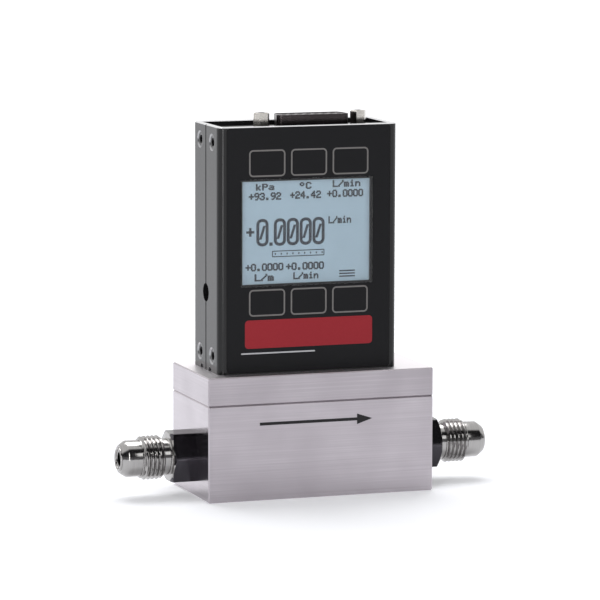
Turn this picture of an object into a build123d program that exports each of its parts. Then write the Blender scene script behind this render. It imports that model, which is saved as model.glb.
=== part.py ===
from build123d import *
import os

# A laminar-flow mass flow controller: a two-part stainless flow block with a male
# face-seal fitting at each end, and a slim sleeve of electronics standing on it.
# X runs along the flow (inlet at -X), -Y is the front with the display, +Z is up.
# The origin is on the underside, in the middle of the block. Millimetres.

os.makedirs("parts", exist_ok=True)

# ---- Flow block
block_width = 77.0
block_depth = 38.1
body_height = 31.3
plate_height = 9.3
edge_break = 0.35
port_height = 12.7
block_top = body_height + plate_height

# ---- Clearances, radial unless named a face gap
thread_gap = 0.05
slide_gap = 0.05
press_gap = 0.02
seal_gap = 0.03
face_gap = 0.05
board_gap = 0.2

# ---- Male face-seal fittings, 9/16-18 outside thread, 7/16-20 shank
hex_across_flats = 15.88
hex_length = 7.94
hex_chamfer = 0.9
neck_diameter = 11.8
neck_length = 2.3
thread_diameter = 14.29
thread_length = 7.6
thread_chamfer = 0.6
nose_diameter = 11.9
nose_length = 4.6
cone_length = 1.9
face_diameter = 9.0
bead_diameter = 7.0
bead_radius = 0.45
fitting_bore = 4.57
shank_diameter = 11.11
shank_length = 9.5
shank_end_gap = 0.3
gland_neck = 9.4
gland_room = 0.15
gland_depth = 1.9

# ---- Laminar flow element in its bore
element_diameter = 9.5
element_length = 15.5
element_slots = 12
slot_width = 0.6
slot_depth = 2.6
element_nose = 3.0
element_nose_diameter = 3.4
spacer_overhang = 1.2
spacer_wall = 1.0
spacer_window = 5.5
screen_thickness = 0.6
screen_hole = 1.1
screen_hole_circle = 6.0
screen_holes = 8

# ---- Passages and pressure taps
passage_diameter = 3.2
passage_drop = 3.0
outlet_passage_rise = 1.5
outlet_passage_reach = 4.2
slant_rise = 2.0
drill_overlap = 1.0
tap_diameter = 1.6
tap_row = 3.6
tap_pitch = 11.0
plenum_tap_inset = 1.15
absolute_tap_y = 3.2
tap_seal_diameter = 4.4
tap_seal_depth = 0.9

# ---- Control valve, standing in the block
valve_x = 14.0
seat_floor_rise = 1.0
orifice_diameter = 1.6
seat_thread = 6.4
seat_thread_length = 3.0
seat_collar = 8.6
seat_collar_height = 1.0
seat_lip_diameter = 3.2
seat_lip_height = 1.0
seat_lip_land = 0.3
chamber_diameter = 11.0
chamber_height = 3.8
tube_flange_diameter = 16.0
tube_flange_thickness = 2.4
tube_wall = 0.6
armature_diameter = 8.2
armature_stroke = 0.3
armature_end_gap = 0.05
armature_disc_diameter = 5.2
armature_disc_thickness = 1.5
pole_length = 6.8
spring_pocket = 4.4
spring_pocket_depth = 2.6
spring_coil = 3.4
spring_wire = 0.45
spring_turns = 5
coil_gap = 0.4
yoke_diameter = 25.2
yoke_wall = 1.5
yoke_end = 1.2
bobbin_height = 11.2
bobbin_wall = 0.8
bobbin_flange = 20.6
winding_diameter = 19.0
flange_seal_diameter = 13.2
flange_seal_width = 1.5
flange_seal_depth = 0.95

# ---- Block screws, from the underside, and the two mounting holes beside them
block_screw_inset = 5.3
block_screw_shank = 4.16
block_screw_clearance = 0.25
block_screw_head = 6.9
block_screw_head_height = 4.2
block_screw_head_gap = 0.3
block_screw_engagement = 6.0
block_screw_drive = 3.2
block_screw_drive_depth = 2.0
mounting_spacing = 38.1
mounting_hole = 3.5
mounting_depth = 6.4

# ---- Electronics sleeve
sleeve_width = 60.96
sleeve_depth = 27.2
sleeve_height = 79.9
sleeve_offset = -2.75
sleeve_wall = 1.9
sleeve_corner = 2.5
sleeve_inner_corner = 0.7
seam_gap = 0.1
seam_chamfer = 0.4
rim_break = 0.3
notch_radius = 1.5
notch_spacing = 8.4

# ---- Base frame and top panel that the two shells screw to
frame_height = 8.0
frame_end = 8.0
frame_clear = 1.05
rail_land = 0.25
panel_recess = 1.8
panel_thickness = 1.6
panel_end_height = 6.8
panel_end = 6.5
side_screw_level = 5.3
side_screw_spacing = 12.4
side_screw_shank = 2.8
side_screw_head = 5.4
side_screw_length = 5.0
side_screw_slot = 0.8
side_screw_slot_depth = 0.6
side_screw_angle = 90
base_screw_shank = 3.5
base_screw_head = 5.5
base_screw_head_height = 3.0
base_screw_roof = 1.2

# ---- Front: overlay, window and keys
overlay_thickness = 0.5
overlay_side_margin = 0.18
overlay_end_margin = 0.5
overlay_proud = 0.05
overlay_gap = 0.1
overlay_corner = 1.2
view_side = 8.68
view_height = 33.3
view_drop = 34.4
view_shift = -0.55
window_ledge = 0.7
window_thickness = 1.2
window_glue = 0.05
key_pitch = 14.2
key_display_gap = 0.75
key_clear = 0.55
plunger_diameter = 3.5
plunger_reach = 0.9
plunger_gap = 0.08
key_travel = 0.25
switch_size = 6.0
switch_wall_gap = 0.5

# ---- Display
display_border_x = 3.55
display_border_z = 2.15
display_frame_depth = 4.4
display_frame_sheet = 0.5
display_frame_lip = 1.9
glass_gap = 0.1
glass_thickness = 2.2
backlight_gap = 0.4
board_thickness = 1.6
display_board_side = 1.08
display_board_foot = 4.9
display_board_head_gap = 0.4
display_boss = 3.8
display_boss_edge = 2.7
display_boss_inset = 2.4
board_screw_shank = 1.9
board_screw_head = 3.2
board_screw_head_height = 1.2
board_screw_grip = 3.0

# ---- Main board and sensor board
main_board_side = 2.58
main_board_lift = 2.8
pin_overlap = 1.7
main_boss = 5.0
main_boss_edge = 4.0
main_boss_inset = 4.5
header_width = 20.0
header_height = 5.0
header_level = 55.0
chip_size = 10.0
chip_height = 1.4
sensor_board_length = 38.0
sensor_board_side = 1.0
sensor_header_width = 14.0
sensor_header_depth = 2.5

# ---- Sensors on the top plate
pressure_body_length = 15.0
pressure_body_width = 8.0
absolute_body_diameter = 8.4
spigot_diameter = 2.4
spigot_length = 1.6
spigot_bore = 1.0
spigot_seal = 4.4
probe_diameter = 2.0
probe_head = 4.6
probe_head_height = 1.2
probe_hole = 2.4
probe_row = 3.3
lead_diameter = 1.0
lead_pitch = 1.8
lead_reach = 7.6
lead_hole = 4.0

# ---- 15-way D connector, a receptacle held under the top panel
connector_side_gap = 3.38
connector_y = 1.6
flange_end = 2.95
flange_side = 2.1
flange_thickness = 0.8
shell_width = 25.2
shell_height = 8.3
shell_rise = 5.9
shell_wall = 0.5
shell_angle = 80
shell_corner = 1.8
cutout_gap = 0.25
insulator_sink = 0.2
insulator_end = 0.6
insulator_side = 0.15
insulator_drop = 6.4
pin_diameter = 1.0
contact_diameter = 1.6
contact_bore = 1.05
contact_bore_depth = 5.0
contact_sink = 0.4
pin_tail = 3.2
pin_pitch = 2.76
pin_row_pitch = 2.84
jackscrew_reach = 4.05
jackscrew_flats = 4.75
jackscrew_height = 4.9
jackscrew_hole = 2.2
jackscrew_hole_depth = 4.4
jackscrew_stud = 2.8
jackscrew_stud_gap = 0.15

# ---- Power socket in the left side, on the seam
socket_level = 25.3
socket_mouth_gap = 0.2
socket_room = 1.2
socket_length = 12.0
socket_bore = 5.6
socket_depth = 9.5
socket_pin = 2.0
socket_pin_length = 8.0

# ---- Places worked out from the sizes above
inlet_face = Plane((-block_width / 2, 0, port_height), x_dir=(0, 1, 0), z_dir=(-1, 0, 0))
outlet_face = Plane((block_width / 2, 0, port_height), x_dir=(0, 1, 0), z_dir=(1, 0, 0))
underside = Plane((0, 0, 0), x_dir=(1, 0, 0), z_dir=(0, 0, -1))

gland_ring = (gland_depth - 2 * seal_gap) / 2
gland_diameter = gland_neck + 4 * gland_ring + 2 * (seal_gap + gland_room)

inner_width = sleeve_width - 2 * sleeve_wall
inner_depth = sleeve_depth - 2 * sleeve_wall
inner_left = sleeve_offset - inner_width / 2
inner_right = sleeve_offset + inner_width / 2
core_width = inner_width - 2 * face_gap
core_depth = inner_depth - 2 * face_gap

pressure_x = inner_left + frame_end + board_gap + face_gap + pressure_body_length / 2
upstream_tap_x = pressure_x - tap_pitch / 2
shank_end_x = -block_width / 2 + shank_length
screen_x = shank_end_x + face_gap
spacer_x = screen_x + screen_thickness + face_gap
spacer_length = upstream_tap_x + spacer_overhang - spacer_x
element_x = spacer_x + spacer_length + face_gap
element_end_x = element_x + element_length
bore_end_x = element_end_x + element_nose + face_gap
element_bore = element_diameter + 2 * slide_gap
absolute_tap_x = element_end_x + plenum_tap_inset

passage_z = port_height - passage_drop
seat_floor = passage_z + passage_diameter / 2 + seat_floor_rise
chamber_floor = seat_floor + seat_thread_length
flange_floor = chamber_floor + chamber_height
coil_floor = flange_floor + tube_flange_thickness
coil_top = coil_floor + 2 * yoke_end + bobbin_height
cavity_top = coil_top + face_gap
tube_bore = armature_diameter + 2 * slide_gap
tube_outer = tube_bore + 2 * tube_wall
coil_bore = yoke_diameter + 2 * coil_gap
lip_top = chamber_floor + seat_collar_height + seat_lip_height
armature_bottom = lip_top + seal_gap
pole_bottom = coil_top - pole_length
armature_top = pole_bottom - armature_stroke - armature_end_gap

block_screw_x = block_width - 2 * block_screw_inset
block_screw_y = block_depth - 2 * block_screw_inset
block_screw_seat = block_screw_head_height + block_screw_head_gap
block_screw_tip = body_height + block_screw_engagement

sleeve_left = sleeve_offset - sleeve_width / 2
sleeve_right = sleeve_offset + sleeve_width / 2
sleeve_top = block_top + sleeve_height
frame_top = block_top + frame_height
frame_opening = 2 * (tap_row + pressure_body_width / 2 + frame_clear)
rail_screw_y = frame_opening / 2 + rail_land + thread_gap + board_screw_shank / 2
base_screw_engagement = block_top - cavity_top - base_screw_roof
panel_top = sleeve_top - panel_recess
flange_top = panel_top - panel_thickness - face_gap
flange_foot = flange_top - flange_thickness
pin_foot = flange_foot - insulator_drop - pin_tail
side_screw_levels = (block_top + side_screw_level, sleeve_top - side_screw_level)

front_y = -sleeve_depth / 2
overlay_front = front_y - overlay_proud
overlay_back = overlay_front + overlay_thickness
front_wall_y = front_y + sleeve_wall
rear_wall_y = sleeve_depth / 2 - sleeve_wall
overlay_width = sleeve_width - 2 * (sleeve_corner + overlay_side_margin)
overlay_height = sleeve_height - 2 * overlay_end_margin
view_width = sleeve_width - 2 * view_side
window_width = view_width + 2 * window_ledge
window_height = view_height + 2 * window_ledge
window_back = overlay_front + window_thickness
view_level = sleeve_height - view_drop
view_x = sleeve_offset + view_shift
view_z = block_top + view_level
display_frame_width = view_width + 2 * display_border_x
display_frame_height = view_height + 2 * display_border_z
backlight_thickness = display_frame_depth - display_frame_sheet - glass_thickness - backlight_gap
display_board_y = front_wall_y + display_frame_depth
display_board_back = display_board_y + board_thickness
key_rise = (display_frame_height + switch_size) / 2 + key_display_gap
key_high_level = view_level + key_rise
key_low_level = view_level - key_rise
key_hole = plunger_diameter + 2 * key_clear
switch_height = display_frame_depth - switch_wall_gap
key_spots = [
    (sleeve_offset + column * key_pitch, block_top + level)
    for level in (key_high_level, key_low_level)
    for column in (-1, 0, 1)
]
switch_face = display_board_y - switch_height

main_board_y = connector_y - board_thickness / 2
main_board_back = connector_y + board_thickness / 2
display_board_width = inner_width - 2 * display_board_side
display_board_low = key_low_level - display_board_foot
display_board_high = sleeve_height - panel_recess - panel_end_height - display_board_head_gap
display_boss_spacing = display_board_width - 2 * display_boss_edge
main_board_width = inner_width - 2 * main_board_side
main_board_low = frame_height + board_thickness + main_board_lift
main_board_high = pin_foot + pin_overlap - block_top
main_boss_spacing = main_board_width - 2 * main_boss_edge
sensor_board_width = inner_depth - 2 * sensor_board_side

shell_clear = shell_width / 2 + jackscrew_reach
jackscrew_spacing = 2 * shell_clear
flange_length = jackscrew_spacing + 2 * flange_end
flange_depth = shell_height + 2 * flange_side
insulator_body_width = shell_width - 2 * insulator_end
insulator_body_depth = shell_height - 2 * insulator_side
socket_body = -2 * (display_board_back + socket_room)
socket_hole = socket_bore + 2 * socket_mouth_gap
socket_z = block_top + socket_level
connector_x = inner_right - connector_side_gap - flange_length / 2

spigot_ring = (spigot_seal - spigot_diameter) / 4 - seal_gap
spigot_seal_depth = 2 * (spigot_ring + seal_gap)
taps = [
    (upstream_tap_x, -tap_row),
    (upstream_tap_x + tap_pitch, -tap_row),
    (absolute_tap_x, absolute_tap_y),
]
probe_spot = (upstream_tap_x, probe_row)
lead_x = valve_x - lead_reach
base_screw_spots = [
    (inner_left + frame_end / 2, 0),
    (inner_right - frame_end / 2, 0),
]


# ================================================================ Flow block
# Lower body: bar stock, drilled from both ends for the fittings and the laminar
# element, and from the top for the valve.
with BuildPart() as flow_body:
    with BuildSketch():
        Rectangle(block_width, block_depth)
    extrude(amount=body_height)
    chamfer(flow_body.edges(), edge_break)
    with Locations(inlet_face, outlet_face):
        CounterBoreHole(
            radius=shank_diameter / 2 + thread_gap,
            counter_bore_radius=gland_diameter / 2,
            counter_bore_depth=gland_depth,
            depth=shank_length + shank_end_gap,
        )
    with Locations(inlet_face):
        Hole(element_bore / 2, depth=bore_end_x + block_width / 2)
    with Locations((valve_x, 0, body_height)):
        Hole(coil_bore / 2, depth=body_height - coil_floor)
        Hole(tube_flange_diameter / 2 + slide_gap, depth=body_height - flange_floor)
        Hole(chamber_diameter / 2, depth=body_height - chamber_floor)
        Hole(seat_thread / 2 + thread_gap, depth=body_height - seat_floor)
        Hole(passage_diameter / 2, depth=body_height - passage_z)
    # Level passage from the downstream plenum to a point under the seat
    passage_start = valve_x + passage_diameter / 2
    with Locations(Plane((passage_start, 0, passage_z), z_dir=(1, 0, 0))):
        Hole(passage_diameter / 2, depth=passage_start - bore_end_x + drill_overlap)
    # Angled passage, drilled through the outlet port up into the valve chamber
    outlet_start = Vector(
        block_width / 2 - shank_length + drill_overlap,
        0,
        port_height + outlet_passage_rise,
    )
    chamber_side = Vector(valve_x + outlet_passage_reach, 0, chamber_floor + chamber_height / 2)
    with Locations(Plane(outlet_start, z_dir=outlet_start - chamber_side)):
        Hole(passage_diameter / 2, depth=(outlet_start - chamber_side).length)
    # Groove for the seal under the core tube's flange
    with BuildSketch(Plane.XY.offset(flange_floor)):
        with Locations((valve_x, 0)):
            Circle(flange_seal_diameter / 2 + flange_seal_width / 2)
            Circle(flange_seal_diameter / 2 - flange_seal_width / 2, mode=Mode.SUBTRACT)
    extrude(amount=-flange_seal_depth, mode=Mode.SUBTRACT)
    # Pressure taps and probe hole; the middle tap slants back to the far plenum
    with Locations(
        (upstream_tap_x, -tap_row, body_height),
        (absolute_tap_x, absolute_tap_y, body_height),
    ):
        Hole(tap_diameter / 2, depth=body_height - port_height)
    slant_top = Vector(upstream_tap_x + tap_pitch, -tap_row, body_height)
    slant_foot = Vector(element_end_x + element_nose / 2, -tap_row, port_height + slant_rise)
    slant = Plane(slant_top, z_dir=slant_top - slant_foot)
    with Locations(slant.offset(drill_overlap)):
        Hole(tap_diameter / 2, depth=(slant_top - slant_foot).length + drill_overlap)
    with Locations((*probe_spot, body_height)):
        Hole(probe_hole / 2, depth=body_height - port_height)
    with Locations(*[(x, y, body_height) for x, y in (*taps, probe_spot)]):
        Hole(tap_seal_diameter / 2, depth=tap_seal_depth)
    with BuildSketch(underside):
        with GridLocations(block_screw_x, block_screw_y, 2, 2):
            Circle(block_screw_shank / 2 + block_screw_clearance)
    extrude(amount=-body_height, mode=Mode.SUBTRACT)
    with BuildSketch(underside):
        with GridLocations(block_screw_x, block_screw_y, 2, 2):
            Circle(block_screw_head / 2 + block_screw_clearance)
    extrude(amount=-block_screw_seat, mode=Mode.SUBTRACT)
    with Locations(underside):
        with GridLocations(mounting_spacing, 0, 2, 1):
            Hole(mounting_hole / 2, depth=mounting_depth)
flow_body.part.label = "flow_body"
export_step(flow_body.part, "parts/flow_body.step")

# Top plate: closes the valve cavity and carries the sensors and the sleeve.
with BuildPart() as top_plate:
    with BuildSketch(Plane.XY.offset(body_height)):
        Rectangle(block_width, block_depth)
    extrude(amount=plate_height)
    chamfer(top_plate.edges(), edge_break)
    with BuildSketch(Plane.XY.offset(body_height)):
        with Locations((valve_x, 0)):
            Circle(coil_bore / 2)
    extrude(amount=cavity_top - body_height, mode=Mode.SUBTRACT)
    with BuildSketch(Plane.XY.offset(body_height)):
        with GridLocations(block_screw_x, block_screw_y, 2, 2):
            Circle(block_screw_shank / 2 + thread_gap)
    extrude(amount=block_screw_engagement + face_gap, mode=Mode.SUBTRACT)
    with Locations(*[(x, y, block_top) for x, y in taps]):
        CounterBoreHole(
            tap_diameter / 2,
            spigot_seal / 2,
            spigot_seal_depth + face_gap,
            depth=plate_height,
        )
        Hole(spigot_diameter / 2 + slide_gap, depth=spigot_length + face_gap)
    with Locations((*probe_spot, block_top)):
        CounterBoreHole(
            probe_hole / 2,
            probe_head / 2 + slide_gap,
            probe_head_height,
            depth=plate_height,
        )
    with Locations((lead_x, 0, block_top)):
        Hole(lead_hole / 2, depth=block_top - cavity_top + drill_overlap)
    with Locations(*[(x, y, block_top) for x, y in base_screw_spots]):
        Hole(base_screw_shank / 2 + thread_gap, depth=base_screw_engagement + face_gap)
top_plate.part.label = "top_plate"
export_step(top_plate.part, "parts/top_plate.step")

# Four socket screws rise from the underside into the plate.
with BuildPart() as block_screws:
    with GridLocations(block_screw_x, block_screw_y, 2, 2):
        with Locations((0, 0, block_screw_head_gap)):
            Cylinder(
                block_screw_head / 2,
                block_screw_head_height,
                align=(Align.CENTER, Align.CENTER, Align.MIN),
            )
            Cylinder(
                block_screw_shank / 2,
                block_screw_tip - block_screw_head_gap,
                align=(Align.CENTER, Align.CENTER, Align.MIN),
            )
    with BuildSketch(Plane.XY.offset(block_screw_head_gap)):
        with GridLocations(block_screw_x, block_screw_y, 2, 2):
            RegularPolygon(block_screw_drive / 2, 6, major_radius=False)
    extrude(amount=block_screw_drive_depth, mode=Mode.SUBTRACT)
block_screws.part.label = "block_screws"
export_step(block_screws.part, "parts/block_screws.step")

# Small rings seal each tap and the probe hole where body and plate meet.
tap_ring = (tap_seal_depth - 2 * seal_gap) / 2
with BuildPart() as tap_o_rings:
    with Locations(*[(x, y, body_height - tap_seal_depth / 2) for x, y in (*taps, probe_spot)]):
        Torus(tap_seal_diameter / 2 - tap_ring - seal_gap, tap_ring)
tap_o_rings.part.label = "tap_o_rings"
export_step(tap_o_rings.part, "parts/tap_o_rings.step")


# ================================================================ Fittings
# Each fitting is turned from hexagon bar: shank into the block, hexagon, relieved
# neck, gland-nut thread (drawn at its major diameter), nose and a rounded sealing bead.
neck_end = hex_length + neck_length
thread_end = neck_end + thread_length
nose_end = thread_end + nose_length
fitting_reach = nose_end + cone_length
for fitting_name, face in (("inlet_fitting", inlet_face), ("outlet_fitting", outlet_face)):
    turning_plane = Plane(face.origin, x_dir=face.z_dir, z_dir=face.x_dir)
    turning_axis = Axis(face.origin, face.z_dir)
    with BuildPart() as fitting:
        with BuildSketch(face):
            RegularPolygon(hex_across_flats / 2, 6, major_radius=False)
        extrude(amount=hex_length)
        with BuildSketch(turning_plane):
            with BuildLine():
                Polyline(
                    (0, 0),
                    (0, hex_across_flats),
                    (hex_length - hex_chamfer, hex_across_flats / 2 + 2 * hex_chamfer),
                    (hex_length, hex_across_flats / 2),
                    (hex_length, 0),
                    close=True,
                )
            make_face()
        revolve(axis=turning_axis, mode=Mode.INTERSECT)
        with BuildSketch(turning_plane):
            with BuildLine():
                Polyline(
                    (-shank_length, 0),
                    (-shank_length, shank_diameter / 2),
                    (-gland_depth, shank_diameter / 2),
                    (-gland_depth, gland_neck / 2),
                    (hex_length, gland_neck / 2),
                    (hex_length, neck_diameter / 2),
                    (neck_end, neck_diameter / 2),
                    (neck_end + thread_chamfer, thread_diameter / 2),
                    (thread_end - thread_chamfer, thread_diameter / 2),
                    (thread_end, thread_diameter / 2 - thread_chamfer),
                    (thread_end, nose_diameter / 2),
                    (nose_end, nose_diameter / 2),
                    (fitting_reach, face_diameter / 2),
                    (fitting_reach, 0),
                    close=True,
                )
            make_face()
            with Locations((fitting_reach, bead_diameter / 2)):
                Circle(bead_radius)
        revolve(axis=turning_axis)
        with Locations(face.offset(fitting_reach)):
            Hole(fitting_bore / 2, depth=fitting_reach + shank_length)
    fitting.part.label = fitting_name
    export_step(fitting.part, f"parts/{fitting_name}.step")

# A ring under each hexagon, squeezed into the counterbore of its port.
with BuildPart() as fitting_o_rings:
    with Locations(inlet_face.offset(-gland_depth / 2), outlet_face.offset(-gland_depth / 2)):
        Torus(gland_neck / 2 + gland_ring + seal_gap, gland_ring)
fitting_o_rings.part.label = "fitting_o_rings"
export_step(fitting_o_rings.part, "parts/fitting_o_rings.step")


# ================================================================ Laminar element
# Perforated disc between the inlet shank and the spacer.
with BuildPart() as inlet_screen:
    with BuildSketch(Plane((screen_x, 0, port_height), x_dir=(0, 1, 0), z_dir=(1, 0, 0))):
        Circle(element_diameter / 2)
        Circle(screen_hole / 2, mode=Mode.SUBTRACT)
        with PolarLocations(screen_hole_circle / 2, screen_holes):
            Circle(screen_hole / 2, mode=Mode.SUBTRACT)
    extrude(amount=screen_thickness)
inlet_screen.part.label = "inlet_screen"
export_step(inlet_screen.part, "parts/inlet_screen.step")

# Spacer tube, open at the top where the tap and the probe reach the gas.
with BuildPart() as element_spacer:
    with BuildSketch(Plane((spacer_x, 0, port_height), x_dir=(0, 1, 0), z_dir=(1, 0, 0))):
        Circle(element_diameter / 2)
        Circle(element_diameter / 2 - spacer_wall, mode=Mode.SUBTRACT)
    extrude(amount=spacer_length)
    with Locations((upstream_tap_x, 0, port_height)):
        Box(
            spacer_window,
            2 * element_diameter,
            element_diameter,
            align=(Align.CENTER, Align.CENTER, Align.MIN),
            mode=Mode.SUBTRACT,
        )
element_spacer.part.label = "element_spacer"
export_step(element_spacer.part, "parts/element_spacer.step")

# Laminar element: a round bar milled with narrow lengthwise channels all round,
# with a short nose that stops it against the end of the bore.
with BuildPart() as laminar_element:
    with BuildSketch(Plane((element_x, 0, port_height), x_dir=(0, 1, 0), z_dir=(1, 0, 0))):
        Circle(element_diameter / 2)
        with PolarLocations(element_diameter / 2 - slot_depth / 2, element_slots):
            Rectangle(slot_depth + drill_overlap, slot_width, mode=Mode.SUBTRACT)
    extrude(amount=element_length)
    with BuildSketch(Plane((element_end_x, 0, port_height), x_dir=(0, 1, 0), z_dir=(1, 0, 0))):
        Circle(element_nose_diameter / 2)
    extrude(amount=element_nose)
laminar_element.part.label = "laminar_element"
export_step(laminar_element.part, "parts/laminar_element.step")


# ================================================================ Control valve
# Every turned piece of the valve is a profile about its upright shaft, drawn as
# (radius, height) pairs on this plane.
valve_plane = Plane((valve_x, 0, 0), x_dir=(1, 0, 0), z_dir=(0, -1, 0))
valve_axis = Axis((valve_x, 0, 0), (0, 0, 1))

with BuildPart() as valve_seat:
    with BuildSketch(valve_plane):
        with BuildLine():
            Polyline(
                (orifice_diameter / 2, seat_floor + face_gap),
                (seat_thread / 2, seat_floor + face_gap),
                (seat_thread / 2, chamber_floor),
                (seat_collar / 2, chamber_floor),
                (seat_collar / 2, chamber_floor + seat_collar_height),
                (seat_lip_diameter / 2, chamber_floor + seat_collar_height),
                (orifice_diameter / 2 + seat_lip_land, lip_top),
                (orifice_diameter / 2, lip_top),
                close=True,
            )
        make_face()
    revolve(axis=valve_axis)
valve_seat.part.label = "valve_seat"
export_step(valve_seat.part, "parts/valve_seat.step")

# The armature slides in the core tube and carries the soft seat disc.
with BuildPart() as armature:
    with Locations((valve_x, 0, armature_bottom)):
        Cylinder(
            armature_diameter / 2,
            armature_top - armature_bottom,
            align=(Align.CENTER, Align.CENTER, Align.MIN),
        )
    with Locations((valve_x, 0, armature_top)):
        Hole(spring_pocket / 2, depth=spring_pocket_depth)
    with BuildSketch(Plane.XY.offset(armature_bottom)):
        with Locations((valve_x, 0)):
            Circle(armature_disc_diameter / 2 + press_gap)
    extrude(amount=armature_disc_thickness + press_gap, mode=Mode.SUBTRACT)
armature.part.label = "armature"
export_step(armature.part, "parts/armature.step")

with BuildPart() as armature_disc:
    with Locations((valve_x, 0, armature_bottom)):
        Cylinder(
            armature_disc_diameter / 2,
            armature_disc_thickness,
            align=(Align.CENTER, Align.CENTER, Align.MIN),
        )
armature_disc.part.label = "armature_disc"
export_step(armature_disc.part, "parts/armature_disc.step")

# Core tube with a clamped flange, and the pole piece welded into its top.
with BuildPart() as core_tube:
    with BuildSketch(valve_plane):
        with BuildLine():
            Polyline(
                (tube_bore / 2, flange_floor),
                (tube_flange_diameter / 2, flange_floor),
                (tube_flange_diameter / 2, coil_floor),
                (tube_outer / 2, coil_floor),
                (tube_outer / 2, coil_top),
                (tube_bore / 2, coil_top),
                close=True,
            )
        make_face()
    revolve(axis=valve_axis)
core_tube.part.label = "core_tube"
export_step(core_tube.part, "parts/core_tube.step")

with BuildPart() as pole_piece:
    with Locations((valve_x, 0, pole_bottom)):
        Cylinder(tube_bore / 2 - press_gap, pole_length, align=(Align.CENTER, Align.CENTER, Align.MIN))
    with BuildSketch(Plane.XY.offset(pole_bottom)):
        with Locations((valve_x, 0)):
            Circle(spring_pocket / 2)
    extrude(amount=spring_pocket_depth, mode=Mode.SUBTRACT)
pole_piece.part.label = "pole_piece"
export_step(pole_piece.part, "parts/pole_piece.step")

# Coil spring between the pockets of the pole piece and the armature.
spring_foot = armature_top - spring_pocket_depth + spring_wire / 2
spring_head = pole_bottom + spring_pocket_depth - spring_wire / 2
with BuildPart() as armature_spring:
    with BuildLine(Plane((valve_x, 0, spring_foot))) as spring_path:
        Helix(
            pitch=(spring_head - spring_foot) / spring_turns,
            height=spring_head - spring_foot,
            radius=spring_coil / 2,
        )
    with BuildSketch(Plane(origin=spring_path.line @ 0, z_dir=spring_path.line % 0)):
        RegularPolygon(spring_wire / 2, 6)
    sweep(is_frenet=True)
armature_spring.part.label = "armature_spring"
export_step(armature_spring.part, "parts/armature_spring.step")

flange_ring = (flange_seal_depth - 2 * seal_gap) / 2
with BuildPart() as tube_o_ring:
    with Locations((valve_x, 0, flange_floor - flange_seal_depth / 2)):
        Torus(flange_seal_diameter / 2, flange_ring)
tube_o_ring.part.label = "tube_o_ring"
export_step(tube_o_ring.part, "parts/tube_o_ring.step")

# Coil: end washer, steel cup, plastic bobbin and its copper winding.
tube_clear = tube_outer / 2 + slide_gap
with BuildPart() as coil_washer:
    with BuildSketch(Plane.XY.offset(coil_floor)):
        with Locations((valve_x, 0)):
            Circle(yoke_diameter / 2)
            Circle(tube_clear, mode=Mode.SUBTRACT)
    extrude(amount=yoke_end)
coil_washer.part.label = "coil_washer"
export_step(coil_washer.part, "parts/coil_washer.step")

with BuildPart() as coil_yoke:
    with BuildSketch(Plane.XY.offset(coil_floor + yoke_end)):
        with Locations((valve_x, 0)):
            Circle(yoke_diameter / 2)
    extrude(amount=coil_top - coil_floor - yoke_end)
    with BuildSketch(Plane.XY.offset(coil_floor + yoke_end)):
        with Locations((valve_x, 0)):
            Circle(yoke_diameter / 2 - yoke_wall)
    extrude(amount=bobbin_height, mode=Mode.SUBTRACT)
    with Locations((valve_x, 0, coil_top)):
        Hole(tube_clear, depth=yoke_end)
    with Locations((lead_x, 0, coil_top)):
        Hole(lead_hole / 2, depth=yoke_end)
coil_yoke.part.label = "coil_yoke"
export_step(coil_yoke.part, "parts/coil_yoke.step")

bobbin_floor = coil_floor + yoke_end
bobbin_top = bobbin_floor + bobbin_height
winding_core = tube_clear + bobbin_wall
with BuildPart() as coil_bobbin:
    with BuildSketch(valve_plane):
        with BuildLine():
            Polyline(
                (tube_clear, bobbin_floor),
                (bobbin_flange / 2, bobbin_floor),
                (bobbin_flange / 2, bobbin_floor + bobbin_wall),
                (winding_core, bobbin_floor + bobbin_wall),
                (winding_core, bobbin_top - bobbin_wall),
                (bobbin_flange / 2, bobbin_top - bobbin_wall),
                (bobbin_flange / 2, bobbin_top),
                (tube_clear, bobbin_top),
                close=True,
            )
        make_face()
    revolve(axis=valve_axis)
coil_bobbin.part.label = "coil_bobbin"
export_step(coil_bobbin.part, "parts/coil_bobbin.step")

with BuildPart() as coil_winding:
    with BuildSketch(Plane.XY.offset(bobbin_floor + bobbin_wall)):
        with Locations((valve_x, 0)):
            Circle(winding_diameter / 2)
            Circle(winding_core, mode=Mode.SUBTRACT)
    extrude(amount=bobbin_height - 2 * bobbin_wall)
coil_winding.part.label = "coil_winding"
export_step(coil_winding.part, "parts/coil_winding.step")

# Two straight leads rise from the bobbin through the plate to the sensor board.
with BuildPart() as coil_leads:
    with Locations((lead_x, 0, bobbin_top)):
        with GridLocations(0, lead_pitch, 1, 2):
            Cylinder(
                lead_diameter / 2,
                frame_top - bobbin_top,
                align=(Align.CENTER, Align.CENTER, Align.MIN),
            )
coil_leads.part.label = "coil_leads"
export_step(coil_leads.part, "parts/coil_leads.step")


# ================================================================ Sleeve
# Two half shells, front and rear, close round a base frame and a top panel. Both
# halves are channels cut from the same rounded section, parted at Y = 0.
front_plane = Plane((sleeve_offset, front_y, block_top), x_dir=(1, 0, 0), z_dir=(0, -1, 0))
display_bosses = [
    (sleeve_offset + side * display_boss_spacing / 2, block_top + level)
    for side in (-1, 1)
    for level in (display_board_low + display_boss_inset, display_board_high - display_boss_inset)
]
main_bosses = [
    (sleeve_offset + side * main_boss_spacing / 2, block_top + level)
    for side in (-1, 1)
    for level in (main_board_low + main_boss_inset, main_board_high - main_boss_inset)
]
display_screw_planes = [
    Plane((x, display_board_back, z), z_dir=(0, 1, 0)) for x, z in display_bosses
]
main_screw_planes = [Plane((x, main_board_y, z), z_dir=(0, -1, 0)) for x, z in main_bosses]


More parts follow.
